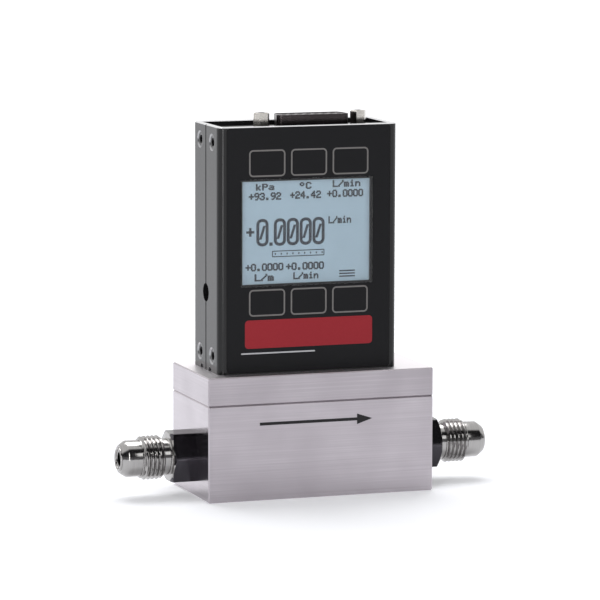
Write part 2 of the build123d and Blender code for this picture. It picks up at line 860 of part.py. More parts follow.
def side_planes(y, levels):
    """Planes on both side walls, facing outwards, at one depth and several levels."""
    return [
        Plane((x, y, level), z_dir=(outward, 0, 0))
        for x, outward in ((sleeve_left, -1), (sleeve_right, 1))
        for level in levels
    ]


def sleeve_half(side):
    """Section of one half of the sleeve: side is -1 for the front, +1 for the rear."""
    with BuildSketch() as section:
        with Locations((sleeve_offset, 0)):
            RectangleRounded(sleeve_width, sleeve_depth, sleeve_corner)
            RectangleRounded(inner_width, inner_depth, sleeve_inner_corner, mode=Mode.SUBTRACT)
        with Locations((sleeve_offset, side * (seam_gap + sleeve_depth) / 2)):
            Rectangle(sleeve_width, sleeve_depth, mode=Mode.INTERSECT)
    return section.sketch


def seam_edges(part, side):
    """The two outside corners of a shell's upright edges along the seam."""
    upright = part.edges().filter_by(Axis.Z).group_by(Axis.Y)
    inward = upright[-1] if side < 0 else upright[0]
    return inward.sort_by(lambda edge: abs(edge.center().X - sleeve_offset))[-2:]


def rim_edges(part):
    """Edges of a shell's top face, without the short ends at the seam."""
    top_face = part.faces().sort_by(Axis.Z)[-1]
    return top_face.edges().filter_by(lambda edge: abs(edge.center().Y) > sleeve_wall)


with BuildPart() as front_shell:
    with BuildSketch(Plane.XY.offset(block_top)):
        add(sleeve_half(-1))
    extrude(amount=sleeve_height)
    chamfer(rim_edges(front_shell), rim_break)
    chamfer(seam_edges(front_shell, -1), seam_chamfer)
    # Shallow recess for the overlay, rebate for the window, and the view opening
    with BuildSketch(front_plane):
        with Locations((0, sleeve_height / 2)):
            RectangleRounded(
                overlay_width + 2 * overlay_gap,
                overlay_height + 2 * overlay_gap,
                overlay_corner,
            )
    extrude(amount=overlay_proud - overlay_thickness, mode=Mode.SUBTRACT)
    with BuildSketch(front_plane):
        with Locations((view_shift, view_level)):
            Rectangle(window_width + 2 * window_glue, window_height + 2 * window_glue)
    extrude(amount=front_y - window_back, mode=Mode.SUBTRACT)
    with BuildSketch(front_plane):
        with Locations((view_shift, view_level)):
            Rectangle(view_width, view_height)
        for level in (key_high_level, key_low_level):
            with Locations((0, level)):
                with GridLocations(key_pitch, 0, 3, 1):
                    Circle(key_hole / 2)
    extrude(amount=-sleeve_wall, mode=Mode.SUBTRACT)
    # Posts that carry the display board
    with Locations(*[Plane((x, front_wall_y, z), z_dir=(0, 1, 0)) for x, z in display_bosses]):
        Cylinder(
            display_boss / 2,
            display_frame_depth,
            align=(Align.CENTER, Align.CENTER, Align.MIN),
        )
    with Locations(*[Plane((x, display_board_y, z), z_dir=(0, 1, 0)) for x, z in display_bosses]):
        Hole(board_screw_shank / 2 + thread_gap, depth=board_screw_grip + face_gap)
    with Locations(*side_planes(-side_screw_spacing / 2, side_screw_levels)):
        CounterSinkHole(
            side_screw_shank / 2 + thread_gap,
            side_screw_head / 2 + thread_gap,
            depth=sleeve_wall,
            counter_sink_angle=side_screw_angle,
        )
    with Locations(*side_planes(-notch_spacing / 2, (block_top,))):
        Hole(notch_radius, depth=sleeve_wall)
    with Locations(Plane((sleeve_left, 0, socket_z), z_dir=(-1, 0, 0))):
        Hole(socket_hole / 2, depth=sleeve_wall)
front_shell.part.label = "front_shell"
export_step(front_shell.part, "parts/front_shell.step")

with BuildPart() as rear_shell:
    with BuildSketch(Plane.XY.offset(block_top)):
        add(sleeve_half(1))
    extrude(amount=sleeve_height)
    chamfer(rim_edges(rear_shell), rim_break)
    chamfer(seam_edges(rear_shell, 1), seam_chamfer)
    # Posts that carry the main board
    with Locations(*[Plane((x, main_board_back, z), z_dir=(0, 1, 0)) for x, z in main_bosses]):
        Cylinder(
            main_boss / 2,
            rear_wall_y - main_board_back,
            align=(Align.CENTER, Align.CENTER, Align.MIN),
        )
    with Locations(*[Plane((x, main_board_back, z), z_dir=(0, -1, 0)) for x, z in main_bosses]):
        Hole(board_screw_shank / 2 + thread_gap, depth=board_screw_grip + face_gap)
    with Locations(*side_planes(side_screw_spacing / 2, side_screw_levels)):
        CounterSinkHole(
            side_screw_shank / 2 + thread_gap,
            side_screw_head / 2 + thread_gap,
            depth=sleeve_wall,
            counter_sink_angle=side_screw_angle,
        )
    with Locations(*side_planes(notch_spacing / 2, (block_top,))):
        Hole(notch_radius, depth=sleeve_wall)
    with Locations(Plane((sleeve_left, 0, socket_z), z_dir=(-1, 0, 0))):
        Hole(socket_hole / 2, depth=sleeve_wall)
rear_shell.part.label = "rear_shell"
export_step(rear_shell.part, "parts/rear_shell.step")

# Base frame: a machined ring screwed to the plate; its ends take the side screws.
with BuildPart() as base_frame:
    with BuildSketch(Plane.XY.offset(block_top)):
        with Locations((sleeve_offset, 0)):
            RectangleRounded(core_width, core_depth, sleeve_inner_corner)
            Rectangle(inner_width - 2 * frame_end, frame_opening, mode=Mode.SUBTRACT)
    extrude(amount=frame_height)
    with Locations(*[(x, y, frame_top) for x, y in base_screw_spots]):
        CounterBoreHole(
            base_screw_shank / 2 + slide_gap,
            base_screw_head / 2 + board_gap,
            base_screw_head_height + board_gap,
            depth=frame_height,
        )
    for side in (-1, 1):
        with Locations(*side_planes(side * side_screw_spacing / 2, side_screw_levels[:1])):
            Hole(side_screw_shank / 2 + thread_gap, depth=side_screw_length + face_gap)
    with Locations((sleeve_offset, 0, frame_top)):
        with GridLocations(
            sensor_board_length - 2 * board_screw_head,
            2 * rail_screw_y,
            2,
            2,
        ):
            Hole(board_screw_shank / 2 + thread_gap, depth=board_screw_grip + face_gap)
base_frame.part.label = "base_frame"
export_step(base_frame.part, "parts/base_frame.step")

with BuildPart() as base_screws:
    with Locations(*[(x, y, frame_top - board_gap) for x, y in base_screw_spots]):
        Cylinder(
            base_screw_head / 2,
            base_screw_head_height,
            align=(Align.CENTER, Align.CENTER, Align.MAX),
        )
        Cylinder(
            base_screw_shank / 2,
            frame_height - board_gap + base_screw_engagement,
            align=(Align.CENTER, Align.CENTER, Align.MAX),
        )
base_screws.part.label = "base_screws"
export_step(base_screws.part, "parts/base_screws.step")

def d_outline(shrink):
    """Rounded D outline, wide side to the front, drawn smaller all round by shrink."""
    with BuildSketch() as outline:
        with Locations((connector_x, connector_y)):
            Trapezoid(shell_width - 2 * shrink, shell_height - 2 * shrink, shell_angle)
        fillet(outline.vertices(), shell_corner - shrink)
    return outline.sketch


# Top panel: sunk below the rim, with an end block at each side for the side screws,
# a D cut-out for the connector and a pocket under it for the connector's flange.
with BuildPart() as top_panel:
    with BuildSketch(Plane.XY.offset(panel_top)):
        with Locations((sleeve_offset, 0)):
            RectangleRounded(core_width, core_depth, sleeve_inner_corner)
    extrude(amount=-panel_thickness)
    with BuildSketch(Plane.XY.offset(panel_top)):
        with Locations((sleeve_offset, 0)):
            RectangleRounded(core_width, core_depth, sleeve_inner_corner)
            Rectangle(core_width - 2 * panel_end, sleeve_depth, mode=Mode.SUBTRACT)
    extrude(amount=-panel_end_height)
    with BuildSketch(Plane.XY.offset(panel_top - panel_thickness)):
        with Locations((connector_x, connector_y)):
            Rectangle(flange_length + 2 * board_gap, flange_depth + 2 * board_gap)
    extrude(amount=-(face_gap + flange_thickness + board_gap), mode=Mode.SUBTRACT)
    with BuildSketch(Plane.XY.offset(panel_top)):
        add(d_outline(-cutout_gap))
    extrude(amount=-panel_thickness, mode=Mode.SUBTRACT)
    with Locations((connector_x, connector_y, panel_top)):
        with GridLocations(jackscrew_spacing, 0, 2, 1):
            Hole(jackscrew_stud / 2 + jackscrew_stud_gap, depth=panel_thickness)
    for side in (-1, 1):
        with Locations(*side_planes(side * side_screw_spacing / 2, side_screw_levels[1:])):
            Hole(side_screw_shank / 2 + thread_gap, depth=side_screw_length + face_gap)
top_panel.part.label = "top_panel"
export_step(top_panel.part, "parts/top_panel.step")

# Eight countersunk screws with a straight slot hold the shells at the sides.
with BuildPart() as side_screw:
    with BuildSketch(Plane.XZ):
        with BuildLine():
            Polyline(
                (0, -face_gap),
                (side_screw_head / 2, -face_gap),
                (side_screw_shank / 2, -face_gap - (side_screw_head - side_screw_shank) / 2),
                (side_screw_shank / 2, -side_screw_length),
                (0, -side_screw_length),
                close=True,
            )
        make_face()
    revolve(axis=Axis.Z)
    with BuildSketch():
        Rectangle(side_screw_head, side_screw_slot)
    extrude(amount=-face_gap - side_screw_slot_depth, mode=Mode.SUBTRACT)
with BuildPart() as side_screws:
    for side in (-1, 1):
        with Locations(*side_planes(side * side_screw_spacing / 2, side_screw_levels)):
            add(side_screw.part)
side_screws.part.label = "side_screws"
export_step(side_screws.part, "parts/side_screws.step")


# ================================================================ Front
# Printed overlay film, die-cut round the window, bonded into its recess.
with BuildPart() as front_overlay:
    with BuildSketch(front_plane.offset(overlay_proud)):
        with Locations((0, sleeve_height / 2)):
            RectangleRounded(overlay_width, overlay_height, overlay_corner)
        with Locations((view_shift, view_level)):
            Rectangle(
                window_width + 2 * window_glue,
                window_height + 2 * window_glue,
                mode=Mode.SUBTRACT,
            )
    extrude(amount=-overlay_thickness)
front_overlay.part.label = "front_overlay"
export_step(front_overlay.part, "parts/front_overlay.step")

with BuildPart() as display_window:
    with BuildSketch(front_plane.offset(overlay_proud)):
        with Locations((view_shift, view_level)):
            Rectangle(window_width, window_height)
    extrude(amount=-window_thickness)
display_window.part.label = "display_window"
export_step(display_window.part, "parts/display_window.step")

# Display: a folded sheet frame with the glass and its backlight inside.
wall_plane = front_plane.offset(-sleeve_wall)
with BuildPart() as display_frame:
    with BuildSketch(wall_plane):
        with Locations((view_shift, view_level)):
            Rectangle(display_frame_width, display_frame_height)
    extrude(amount=-display_frame_depth)
    with BuildSketch(wall_plane.offset(-display_frame_sheet)):
        with Locations((view_shift, view_level)):
            Rectangle(
                display_frame_width - 2 * display_frame_sheet,
                display_frame_height - 2 * display_frame_sheet,
            )
    extrude(amount=-display_frame_depth, mode=Mode.SUBTRACT)
    with BuildSketch(wall_plane):
        with Locations((view_shift, view_level)):
            Rectangle(
                display_frame_width - 2 * display_frame_lip,
                display_frame_height - 2 * display_frame_lip,
            )
    extrude(amount=-display_frame_sheet, mode=Mode.SUBTRACT)
display_frame.part.label = "display_frame"
export_step(display_frame.part, "parts/display_frame.step")

glass_width = display_frame_width - 2 * (display_frame_sheet + glass_gap)
glass_height = display_frame_height - 2 * (display_frame_sheet + glass_gap)
with BuildPart() as display_glass:
    with BuildSketch(wall_plane.offset(-display_frame_sheet)):
        with Locations((view_shift, view_level)):
            Rectangle(glass_width, glass_height)
    extrude(amount=-glass_thickness)
display_glass.part.label = "display_glass"
export_step(display_glass.part, "parts/display_glass.step")

with BuildPart() as display_backlight:
    with BuildSketch(wall_plane.offset(-display_frame_sheet - glass_thickness)):
        with Locations((view_shift, view_level)):
            Rectangle(glass_width, glass_height)
    extrude(amount=-backlight_thickness)
display_backlight.part.label = "display_backlight"
export_step(display_backlight.part, "parts/display_backlight.step")

with BuildPart() as display_board:
    with BuildSketch(wall_plane.offset(-display_frame_depth)):
        with Locations((0, (display_board_low + display_board_high) / 2)):
            Rectangle(display_board_width, display_board_high - display_board_low)
    extrude(amount=-board_thickness)
    with Locations(*display_screw_planes):
        Hole(board_screw_shank / 2 + slide_gap, depth=board_thickness)
display_board.part.label = "display_board"
export_step(display_board.part, "parts/display_board.step")

# Six push switches behind the overlay; each plunger is a piece of its own.
switch_bore_depth = plunger_reach + key_travel + face_gap
with BuildPart() as key_switches:
    for x, z in key_spots:
        with Locations(Plane((x, display_board_y, z), x_dir=(1, 0, 0), z_dir=(0, -1, 0))):
            Box(
                switch_size,
                switch_size,
                switch_height,
                align=(Align.CENTER, Align.CENTER, Align.MIN),
            )
        with Locations(Plane((x, switch_face, z), x_dir=(1, 0, 0), z_dir=(0, -1, 0))):
            Hole(plunger_diameter / 2 + slide_gap, depth=switch_bore_depth)
key_switches.part.label = "key_switches"
export_step(key_switches.part, "parts/key_switches.step")

plunger_names = [
    f"key_plunger_{row}_{column}"
    for row in ("top", "bottom")
    for column in ("left", "middle", "right")
]
plunger_tip = overlay_back + plunger_gap
for plunger_name, (x, z) in zip(plunger_names, key_spots):
    with BuildPart() as plunger:
        with Locations(Plane((x, plunger_tip, z), z_dir=(0, 1, 0))):
            Cylinder(
                plunger_diameter / 2,
                switch_face + plunger_reach - plunger_tip,
                align=(Align.CENTER, Align.CENTER, Align.MIN),
            )
    plunger.part.label = plunger_name
    export_step(plunger.part, f"parts/{plunger_name}.step")


# ================================================================ Boards
# Main board, upright behind the connector, notched for the power socket.
socket_left = inner_left + face_gap
main_board_left = sleeve_offset - main_board_width / 2
with BuildPart() as main_board:
    with BuildSketch(front_plane.offset(front_y - main_board_y)):
        with Locations((0, (main_board_low + main_board_high) / 2)):
            Rectangle(main_board_width, main_board_high - main_board_low)
    extrude(amount=-board_thickness)
    with Locations((socket_left - board_gap, connector_y, socket_z)):
        Box(
            socket_length + 2 * board_gap,
            2 * board_thickness,
            socket_body + 2 * board_gap,
            align=(Align.MIN, Align.CENTER, Align.CENTER),
            mode=Mode.SUBTRACT,
        )
    with Locations(*main_screw_planes):
        Hole(board_screw_shank / 2 + slide_gap, depth=board_thickness)
main_board.part.label = "main_board"
export_step(main_board.part, "parts/main_board.step")

with BuildPart() as processor_chip:
    with Locations((sleeve_offset, main_board_back, view_z)):
        Box(chip_size, chip_height, chip_size, align=(Align.CENTER, Align.MIN, Align.CENTER))
processor_chip.part.label = "processor_chip"
export_step(processor_chip.part, "parts/processor_chip.step")

# Header strip that joins the display board to the main board.
with BuildPart() as board_header:
    with Locations((sleeve_offset, display_board_back, block_top + header_level)):
        Box(
            header_width,
            main_board_y - display_board_back,
            header_height,
            align=(Align.CENTER, Align.MIN, Align.CENTER),
        )
board_header.part.label = "board_header"
export_step(board_header.part, "parts/board_header.step")

# Pan-head screws: four behind the display board, four in front of the main board,
# four on the sensor board.
with BuildPart() as board_screws:
    with Locations(*display_screw_planes, *main_screw_planes):
        Cylinder(
            board_screw_head / 2,
            board_screw_head_height,
            align=(Align.CENTER, Align.CENTER, Align.MIN),
        )
        Cylinder(
            board_screw_shank / 2,
            board_thickness + board_screw_grip,
            align=(Align.CENTER, Align.CENTER, Align.MAX),
        )
    with Locations((sleeve_offset, 0, frame_top + board_thickness)):
        with GridLocations(
            sensor_board_length - 2 * board_screw_head,
            2 * rail_screw_y,
            2,
            2,
        ):
            Cylinder(
                board_screw_head / 2,
                board_screw_head_height,
                align=(Align.CENTER, Align.CENTER, Align.MIN),
            )
            Cylinder(
                board_screw_shank / 2,
                board_thickness + board_screw_grip,
                align=(Align.CENTER, Align.CENTER, Align.MAX),
            )
board_screws.part.label = "board_screws"
export_step(board_screws.part, "parts/board_screws.step")

with BuildPart() as sensor_board:
    with BuildSketch(Plane.XY.offset(frame_top)):
        with Locations((sleeve_offset, 0)):
            Rectangle(sensor_board_length, sensor_board_width)
            with GridLocations(
                sensor_board_length - 2 * board_screw_head,
                2 * rail_screw_y,
                2,
                2,
            ):
                Circle(board_screw_shank / 2 + slide_gap, mode=Mode.SUBTRACT)
    extrude(amount=board_thickness)
sensor_board.part.label = "sensor_board"
export_step(sensor_board.part, "parts/sensor_board.step")

# Header between the sensor board and the lower edge of the main board.
with BuildPart() as sensor_header:
    with Locations((sleeve_offset, main_board_y, frame_top + board_thickness)):
        Box(
            sensor_header_width,
            sensor_header_depth,
            main_board_low + header_height - frame_height - board_thickness,
            align=(Align.CENTER, Align.MAX, Align.MIN),
        )
sensor_header.part.label = "sensor_header"
export_step(sensor_header.part, "parts/sensor_header.step")


# ================================================================ Sensors
# Differential sensor: one body over the two front taps, a spigot down into each.
sensor_height = frame_height - face_gap
spigot_bore_top = block_top + face_gap - spigot_length + sensor_height / 2
with BuildPart() as differential_sensor:
    with Locations((pressure_x, -tap_row, block_top + face_gap)):
        Box(
            pressure_body_length,
            pressure_body_width,
            sensor_height,
            align=(Align.CENTER, Align.CENTER, Align.MIN),
        )
    with Locations(*[(x, y, block_top + face_gap) for x, y in taps[:2]]):
        Cylinder(
            spigot_diameter / 2,
            spigot_length,
            align=(Align.CENTER, Align.CENTER, Align.MAX),
        )
    with Locations(*[(x, y, spigot_bore_top) for x, y in taps[:2]]):
        Hole(spigot_bore / 2, depth=sensor_height / 2)
differential_sensor.part.label = "differential_sensor"
export_step(differential_sensor.part, "parts/differential_sensor.step")

with BuildPart() as absolute_sensor:
    with Locations((*taps[2], block_top + face_gap)):
        Cylinder(
            absolute_body_diameter / 2,
            sensor_height,
            align=(Align.CENTER, Align.CENTER, Align.MIN),
        )
        Cylinder(
            spigot_diameter / 2,
            spigot_length,
            align=(Align.CENTER, Align.CENTER, Align.MAX),
        )
    with Locations((*taps[2], spigot_bore_top)):
        Hole(spigot_bore / 2, depth=sensor_height / 2)
absolute_sensor.part.label = "absolute_sensor"
export_step(absolute_sensor.part, "parts/absolute_sensor.step")

with BuildPart() as sensor_o_rings:
    with Locations(*[(x, y, block_top - spigot_seal_depth / 2) for x, y in taps]):
        Torus(spigot_diameter / 2 + seal_gap + spigot_ring, spigot_ring)
sensor_o_rings.part.label = "sensor_o_rings"
export_step(sensor_o_rings.part, "parts/sensor_o_rings.step")

# Temperature probe: a thin sheath down into the gas, with a flanged head.
with BuildPart() as temperature_probe:
    with Locations((*probe_spot, block_top)):
        Cylinder(
            probe_head / 2,
            probe_head_height,
            align=(Align.CENTER, Align.CENTER, Align.MAX),
        )
        Cylinder(
            probe_diameter / 2,
            block_top - port_height,
            align=(Align.CENTER, Align.CENTER, Align.MAX),
        )
        Cylinder(
            lead_diameter / 2,
            frame_height,
            align=(Align.CENTER, Align.CENTER, Align.MIN),
        )
temperature_probe.part.label = "temperature_probe"
export_step(temperature_probe.part, "parts/temperature_probe.step")


# ================================================================ D connector
with BuildPart() as connector_shell:
    with BuildSketch(Plane.XY.offset(flange_foot)):
        with Locations((connector_x, connector_y)):
            RectangleRounded(flange_length, flange_depth, shell_corner)
    extrude(amount=flange_thickness)
    with BuildSketch(Plane.XY.offset(flange_top)):
        add(d_outline(0))
    extrude(amount=shell_rise)
    with BuildSketch(Plane.XY.offset(flange_foot)):
        add(d_outline(shell_wall))
    extrude(amount=flange_thickness + shell_rise, mode=Mode.SUBTRACT)
    with Locations((connector_x, connector_y, flange_top)):
        with GridLocations(jackscrew_spacing, 0, 2, 1):
            Hole(jackscrew_stud / 2 + thread_gap, depth=flange_thickness)
connector_shell.part.label = "connector_shell"
export_step(connector_shell.part, "parts/connector_shell.step")

# Moulded insulator: a D nearly flush with the shell's edge and a square body below,
# with a hole through both for each contact.
contact_spots = [
    (connector_x + (column - (count - 1) / 2) * pin_pitch, connector_y + side * pin_row_pitch / 2)
    for count, side in ((8, -1), (7, 1))
    for column in range(count)
]
insulator_face = flange_top + shell_rise - insulator_sink
insulator_foot = flange_foot - insulator_drop
with BuildPart() as connector_insulator:
    with BuildSketch(Plane.XY.offset(flange_foot)):
        add(d_outline(shell_wall + slide_gap))
    extrude(amount=insulator_face - flange_foot)
    with BuildSketch(Plane.XY.offset(flange_foot)):
        with Locations((connector_x, connector_y)):
            Rectangle(insulator_body_width, insulator_body_depth)
    extrude(amount=-insulator_drop)
    with BuildSketch(Plane.XY.offset(insulator_foot)):
        with Locations(*contact_spots):
            Circle(contact_diameter / 2 + press_gap)
    extrude(amount=insulator_face - insulator_foot, mode=Mode.SUBTRACT)
connector_insulator.part.label = "connector_insulator"
export_step(connector_insulator.part, "parts/connector_insulator.step")

# Fifteen turned contacts: a bored socket above and a solder pin below.
with BuildPart() as connector_contact:
    Cylinder(
        contact_diameter / 2,
        insulator_face - contact_sink - insulator_foot,
        align=(Align.CENTER, Align.CENTER, Align.MIN),
    )
    Cylinder(pin_diameter / 2, pin_tail, align=(Align.CENTER, Align.CENTER, Align.MAX))
    with Locations((0, 0, insulator_face - contact_sink - insulator_foot)):
        Hole(contact_bore / 2, depth=contact_bore_depth)
with BuildPart() as connector_pins:
    with Locations(*[(x, y, insulator_foot) for x, y in contact_spots]):
        add(connector_contact.part)
connector_pins.part.label = "connector_pins"
export_step(connector_pins.part, "parts/connector_pins.step")

# Jackscrews: hexagon standoffs with a threaded hole above and a stud below.
with BuildPart() as jackscrews:
    with BuildSketch(Plane.XY.offset(panel_top)):
        with Locations((connector_x, connector_y)):
            with GridLocations(jackscrew_spacing, 0, 2, 1):
                RegularPolygon(jackscrew_flats / 2, 6, major_radius=False)
    extrude(amount=jackscrew_height)
    chamfer(jackscrews.faces().group_by(Axis.Z)[-1].edges(), rim_break)
    with Locations((connector_x, connector_y, panel_top + jackscrew_height)):
        with GridLocations(jackscrew_spacing, 0, 2, 1):
            Hole(jackscrew_hole / 2, depth=jackscrew_hole_depth)
    with Locations((connector_x, connector_y, panel_top)):
        with GridLocations(jackscrew_spacing, 0, 2, 1):
            Cylinder(
                jackscrew_stud / 2,
                panel_top - flange_foot,
                align=(Align.CENTER, Align.CENTER, Align.MAX),
            )
jackscrews.part.label = "jackscrews"
export_step(jackscrews.part, "parts/jackscrews.step")


# ================================================================ Power socket
# Barrel socket in the notch of the main board, its mouth behind the side hole.
with BuildPart() as power_socket:
    with Locations((socket_left, 0, socket_z)):
        Box(
            socket_length,
            socket_body,
            socket_body,
            align=(Align.MIN, Align.CENTER, Align.CENTER),
        )
    with Locations(Plane((socket_left, 0, socket_z), z_dir=(-1, 0, 0))):
        Hole(socket_bore / 2, depth=socket_depth)
power_socket.part.label = "power_socket"
export_step(power_socket.part, "parts/power_socket.step")

with BuildPart() as socket_pin_contact:
    with Locations(Plane((socket_left + socket_depth, 0, socket_z), z_dir=(-1, 0, 0))):
        Cylinder(socket_pin / 2, socket_pin_length, align=(Align.CENTER, Align.CENTER, Align.MIN))
socket_pin_contact.part.label = "socket_pin"
export_step(socket_pin_contact.part, "parts/socket_pin.step")
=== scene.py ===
import math

import bmesh
import bpy
from mathutils import Matrix, Vector


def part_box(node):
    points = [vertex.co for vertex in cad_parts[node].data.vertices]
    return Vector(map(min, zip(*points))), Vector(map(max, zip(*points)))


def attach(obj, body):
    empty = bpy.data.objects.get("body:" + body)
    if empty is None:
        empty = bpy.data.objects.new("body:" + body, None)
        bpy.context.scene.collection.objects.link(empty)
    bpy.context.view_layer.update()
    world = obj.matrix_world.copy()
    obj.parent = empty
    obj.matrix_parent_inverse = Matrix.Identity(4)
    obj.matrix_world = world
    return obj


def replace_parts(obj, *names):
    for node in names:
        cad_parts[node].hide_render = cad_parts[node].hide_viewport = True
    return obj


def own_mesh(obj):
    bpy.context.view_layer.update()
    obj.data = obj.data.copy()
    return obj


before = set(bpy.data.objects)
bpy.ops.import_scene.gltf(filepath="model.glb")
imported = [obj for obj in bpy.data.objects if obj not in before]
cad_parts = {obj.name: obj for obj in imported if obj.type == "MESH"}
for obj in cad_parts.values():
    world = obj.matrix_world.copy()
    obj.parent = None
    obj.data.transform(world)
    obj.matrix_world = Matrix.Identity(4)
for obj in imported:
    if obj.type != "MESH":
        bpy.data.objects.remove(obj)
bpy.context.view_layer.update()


# ================================================================ Camera
# A long lens a little over a metre away, to the inlet side of the instrument and just
# above it, so its upright edges stay nearly parallel.
yaw, elevation, roll = math.radians(19.34), math.radians(7.71), math.radians(0.16)
look = Vector((
    math.sin(yaw) * math.cos(elevation),
    math.cos(yaw) * math.cos(elevation),
    -math.sin(elevation),
))
camera_data = bpy.data.cameras.new("camera")
camera_data.lens = 229.17
camera_data.sensor_width = 36.0
camera_data.clip_start = 0.05
camera_data.clip_end = 100.0
camera = bpy.data.objects.new("camera", camera_data)
camera.location = (-0.41049, -1.16692, 0.22943)
camera.rotation_mode = "QUATERNION"
camera.rotation_quaternion = (
    look.to_track_quat("-Z", "Y") @ Matrix.Rotation(roll, 3, "Z").to_quaternion()
)
bpy.context.collection.objects.link(camera)
bpy.context.scene.camera = camera
bpy.context.scene.view_settings.view_transform = "Standard"


# ================================================================ Paper floor
# A wide sheet of matt white backdrop paper lies under the instrument. It runs far past
# it on all sides, so its edge is lost in the white of the room, and it takes the shadow.
def colour(hex_code):
    """sRGB hex code as linear red, green, blue and alpha."""
    channels = [int(hex_code[i : i + 2], 16) / 255 for i in (1, 3, 5)]
    return tuple(
        c / 12.92 if c <= 0.04045 else ((c + 0.055) / 1.055) ** 2.4 for c in channels
    ) + (1.0,)


def add(tree, kind, inputs=None, **settings):
    """Adds one node, sets its properties, and fills or links its inputs."""
    node = tree.nodes.new(kind)
    for name, value in settings.items():
        setattr(node, name, value)
    for name, value in (inputs or {}).items():
        if isinstance(value, bpy.types.NodeSocket):
            tree.links.new(value, node.inputs[name])
        else:
            node.inputs[name].default_value = value
    return node


def empty_material(name):
    """A new material with an empty node tree."""
    material = bpy.data.materials.new(name)
    material.use_nodes = True
    material.node_tree.nodes.clear()
    return material, material.node_tree


def what_is_seen(tree):
    """1 for the rays of the eye and the rays that metal and glass send on, 0 for the rest."""
    rays = add(tree, "ShaderNodeLightPath")
    sent_on = add(tree, "ShaderNodeMath", {
        0: rays.outputs["Is Glossy Ray"],
        1: rays.outputs["Is Transmission Ray"],
    }, operation="MAXIMUM")
    seen = add(tree, "ShaderNodeMath", {
        0: rays.outputs["Is Camera Ray"],
        1: sent_on.outputs[0],
    }, operation="MAXIMUM")
    return seen.outputs[0]


floor_reach, floor_drop = 12.0, -0.0002
floor_corners = ((-1, -1), (1, -1), (1, 1), (-1, 1))
floor_mesh = bpy.data.meshes.new("paper_floor")
floor_mesh.from_pydata(
    [(x * floor_reach, y * floor_reach, floor_drop) for x, y in floor_corners],
    [],
    [(0, 1, 2, 3)],
)
floor = bpy.data.objects.new("paper_floor", floor_mesh)
bpy.context.collection.objects.link(floor)

# Backdrop paper: cool white and quite matt, with a faint mottle from its fibres, drawn
# 1 mm wide because real ones, about 0.03 mm, wouldn't show. It glows a little near the
# instrument and fully white further out, only for what the eye, metal and glass see.
material, tree = empty_material("white_backdrop_paper")
texture = add(tree, "ShaderNodeTexCoord")
fibre_size = 0.0011
fibre = add(tree, "ShaderNodeTexNoise", {
    "Vector": texture.outputs["Object"],
    "Scale": 1 / fibre_size,
    "Detail": 4.0,
})
paper = add(tree, "ShaderNodeMix", {"Factor": fibre.outputs["Fac"]}, data_type="RGBA")
paper.inputs["A"].default_value = colour("#f0f1f5")
paper.inputs["B"].default_value = colour("#f8f9fc")
matt = add(tree, "ShaderNodeBsdfDiffuse", {"Color": paper.outputs["Result"]})
near_instrument, full_white, near_glow = 0.25, 2.0, 0.27
distance = add(tree, "ShaderNodeVectorMath", {0: texture.outputs["Object"]}, operation="LENGTH")
glow = add(tree, "ShaderNodeMapRange", {
    "Value": distance.outputs["Value"],
    "From Min": near_instrument,
    "From Max": full_white,
    "To Min": near_glow,
    "To Max": 1.0,
})
white = add(tree, "ShaderNodeEmission", {"Color": colour("#ffffff"), "Strength": glow.outputs["Result"]})
glowing_paper = add(tree, "ShaderNodeAddShader", {0: matt.outputs[0], 1: white.outputs[0]})
choice = add(tree, "ShaderNodeMixShader", {
    0: what_is_seen(tree),
    1: matt.outputs[0],
    2: glowing_paper.outputs[0],
})
add(tree, "ShaderNodeOutputMaterial", {"Surface": choice.outputs[0]})
floor_mesh.materials.append(material)


# ================================================================ Room and lamps
# The room is white behind and above the instrument and dark on the side of the person who
# looks at it, which draws the dark bands on polished steel. Light comes from a big soft
# panel above, a narrow strip at the inlet side and a weak fill in front.
world = bpy.data.worlds.new("studio")
bpy.context.scene.world = world
world.use_nodes = True
tree = world.node_tree
tree.nodes.clear()
direction = add(tree, "ShaderNodeTexCoord")
split = add(tree, "ShaderNodeSeparateXYZ", {"Vector": direction.outputs["Generated"]})
# The dark fades to white between these two distances behind the instrument, on a sphere
# of radius 1, and the edge leans forward with height by this share of it.
dark_until, white_from, lean = 0.04, 0.27, 0.55
backward = add(tree, "ShaderNodeMath", {
    0: split.outputs["Z"],
    1: lean,
    2: split.outputs["Y"],
}, operation="MULTIPLY_ADD")
behind = add(tree, "ShaderNodeMapRange", {
    "Value": backward.outputs[0],
    "From Min": dark_until,
    "From Max": white_from,
}, interpolation_type="SMOOTHSTEP")
dark_side = add(tree, "ShaderNodeValToRGB", {"Fac": split.outputs["Z"]})
heights = dark_side.color_ramp.elements
heights[0].color = colour("#6c6c6e")
heights[1].color = colour("#2a2a2c")
heights.new(0.20).color = colour("#747476")
heights.new(0.34).color = colour("#1d1d1f")
rays = add(tree, "ShaderNodeLightPath")
white_there = add(tree, "ShaderNodeMath", {
    0: rays.outputs["Is Camera Ray"],
    1: behind.outputs["Result"],
}, operation="MAXIMUM")
room = add(tree, "ShaderNodeMix", {"Factor": white_there.outputs[0]}, data_type="RGBA")
tree.links.new(dark_side.outputs["Color"], room.inputs["A"])
room.inputs["B"].default_value = colour("#ffffff")
backdrop = add(tree, "ShaderNodeBackground", {"Color": room.outputs["Result"], "Strength": 1.0})
soft_light = add(tree, "ShaderNodeBackground", {"Color": colour("#f2f3f5"), "Strength": 0.42})
choice = add(tree, "ShaderNodeMixShader", {
    0: what_is_seen(tree),
    1: soft_light.outputs[0],
    2: backdrop.outputs[0],
})
add(tree, "ShaderNodeOutputWorld", {"Surface": choice.outputs[0]})


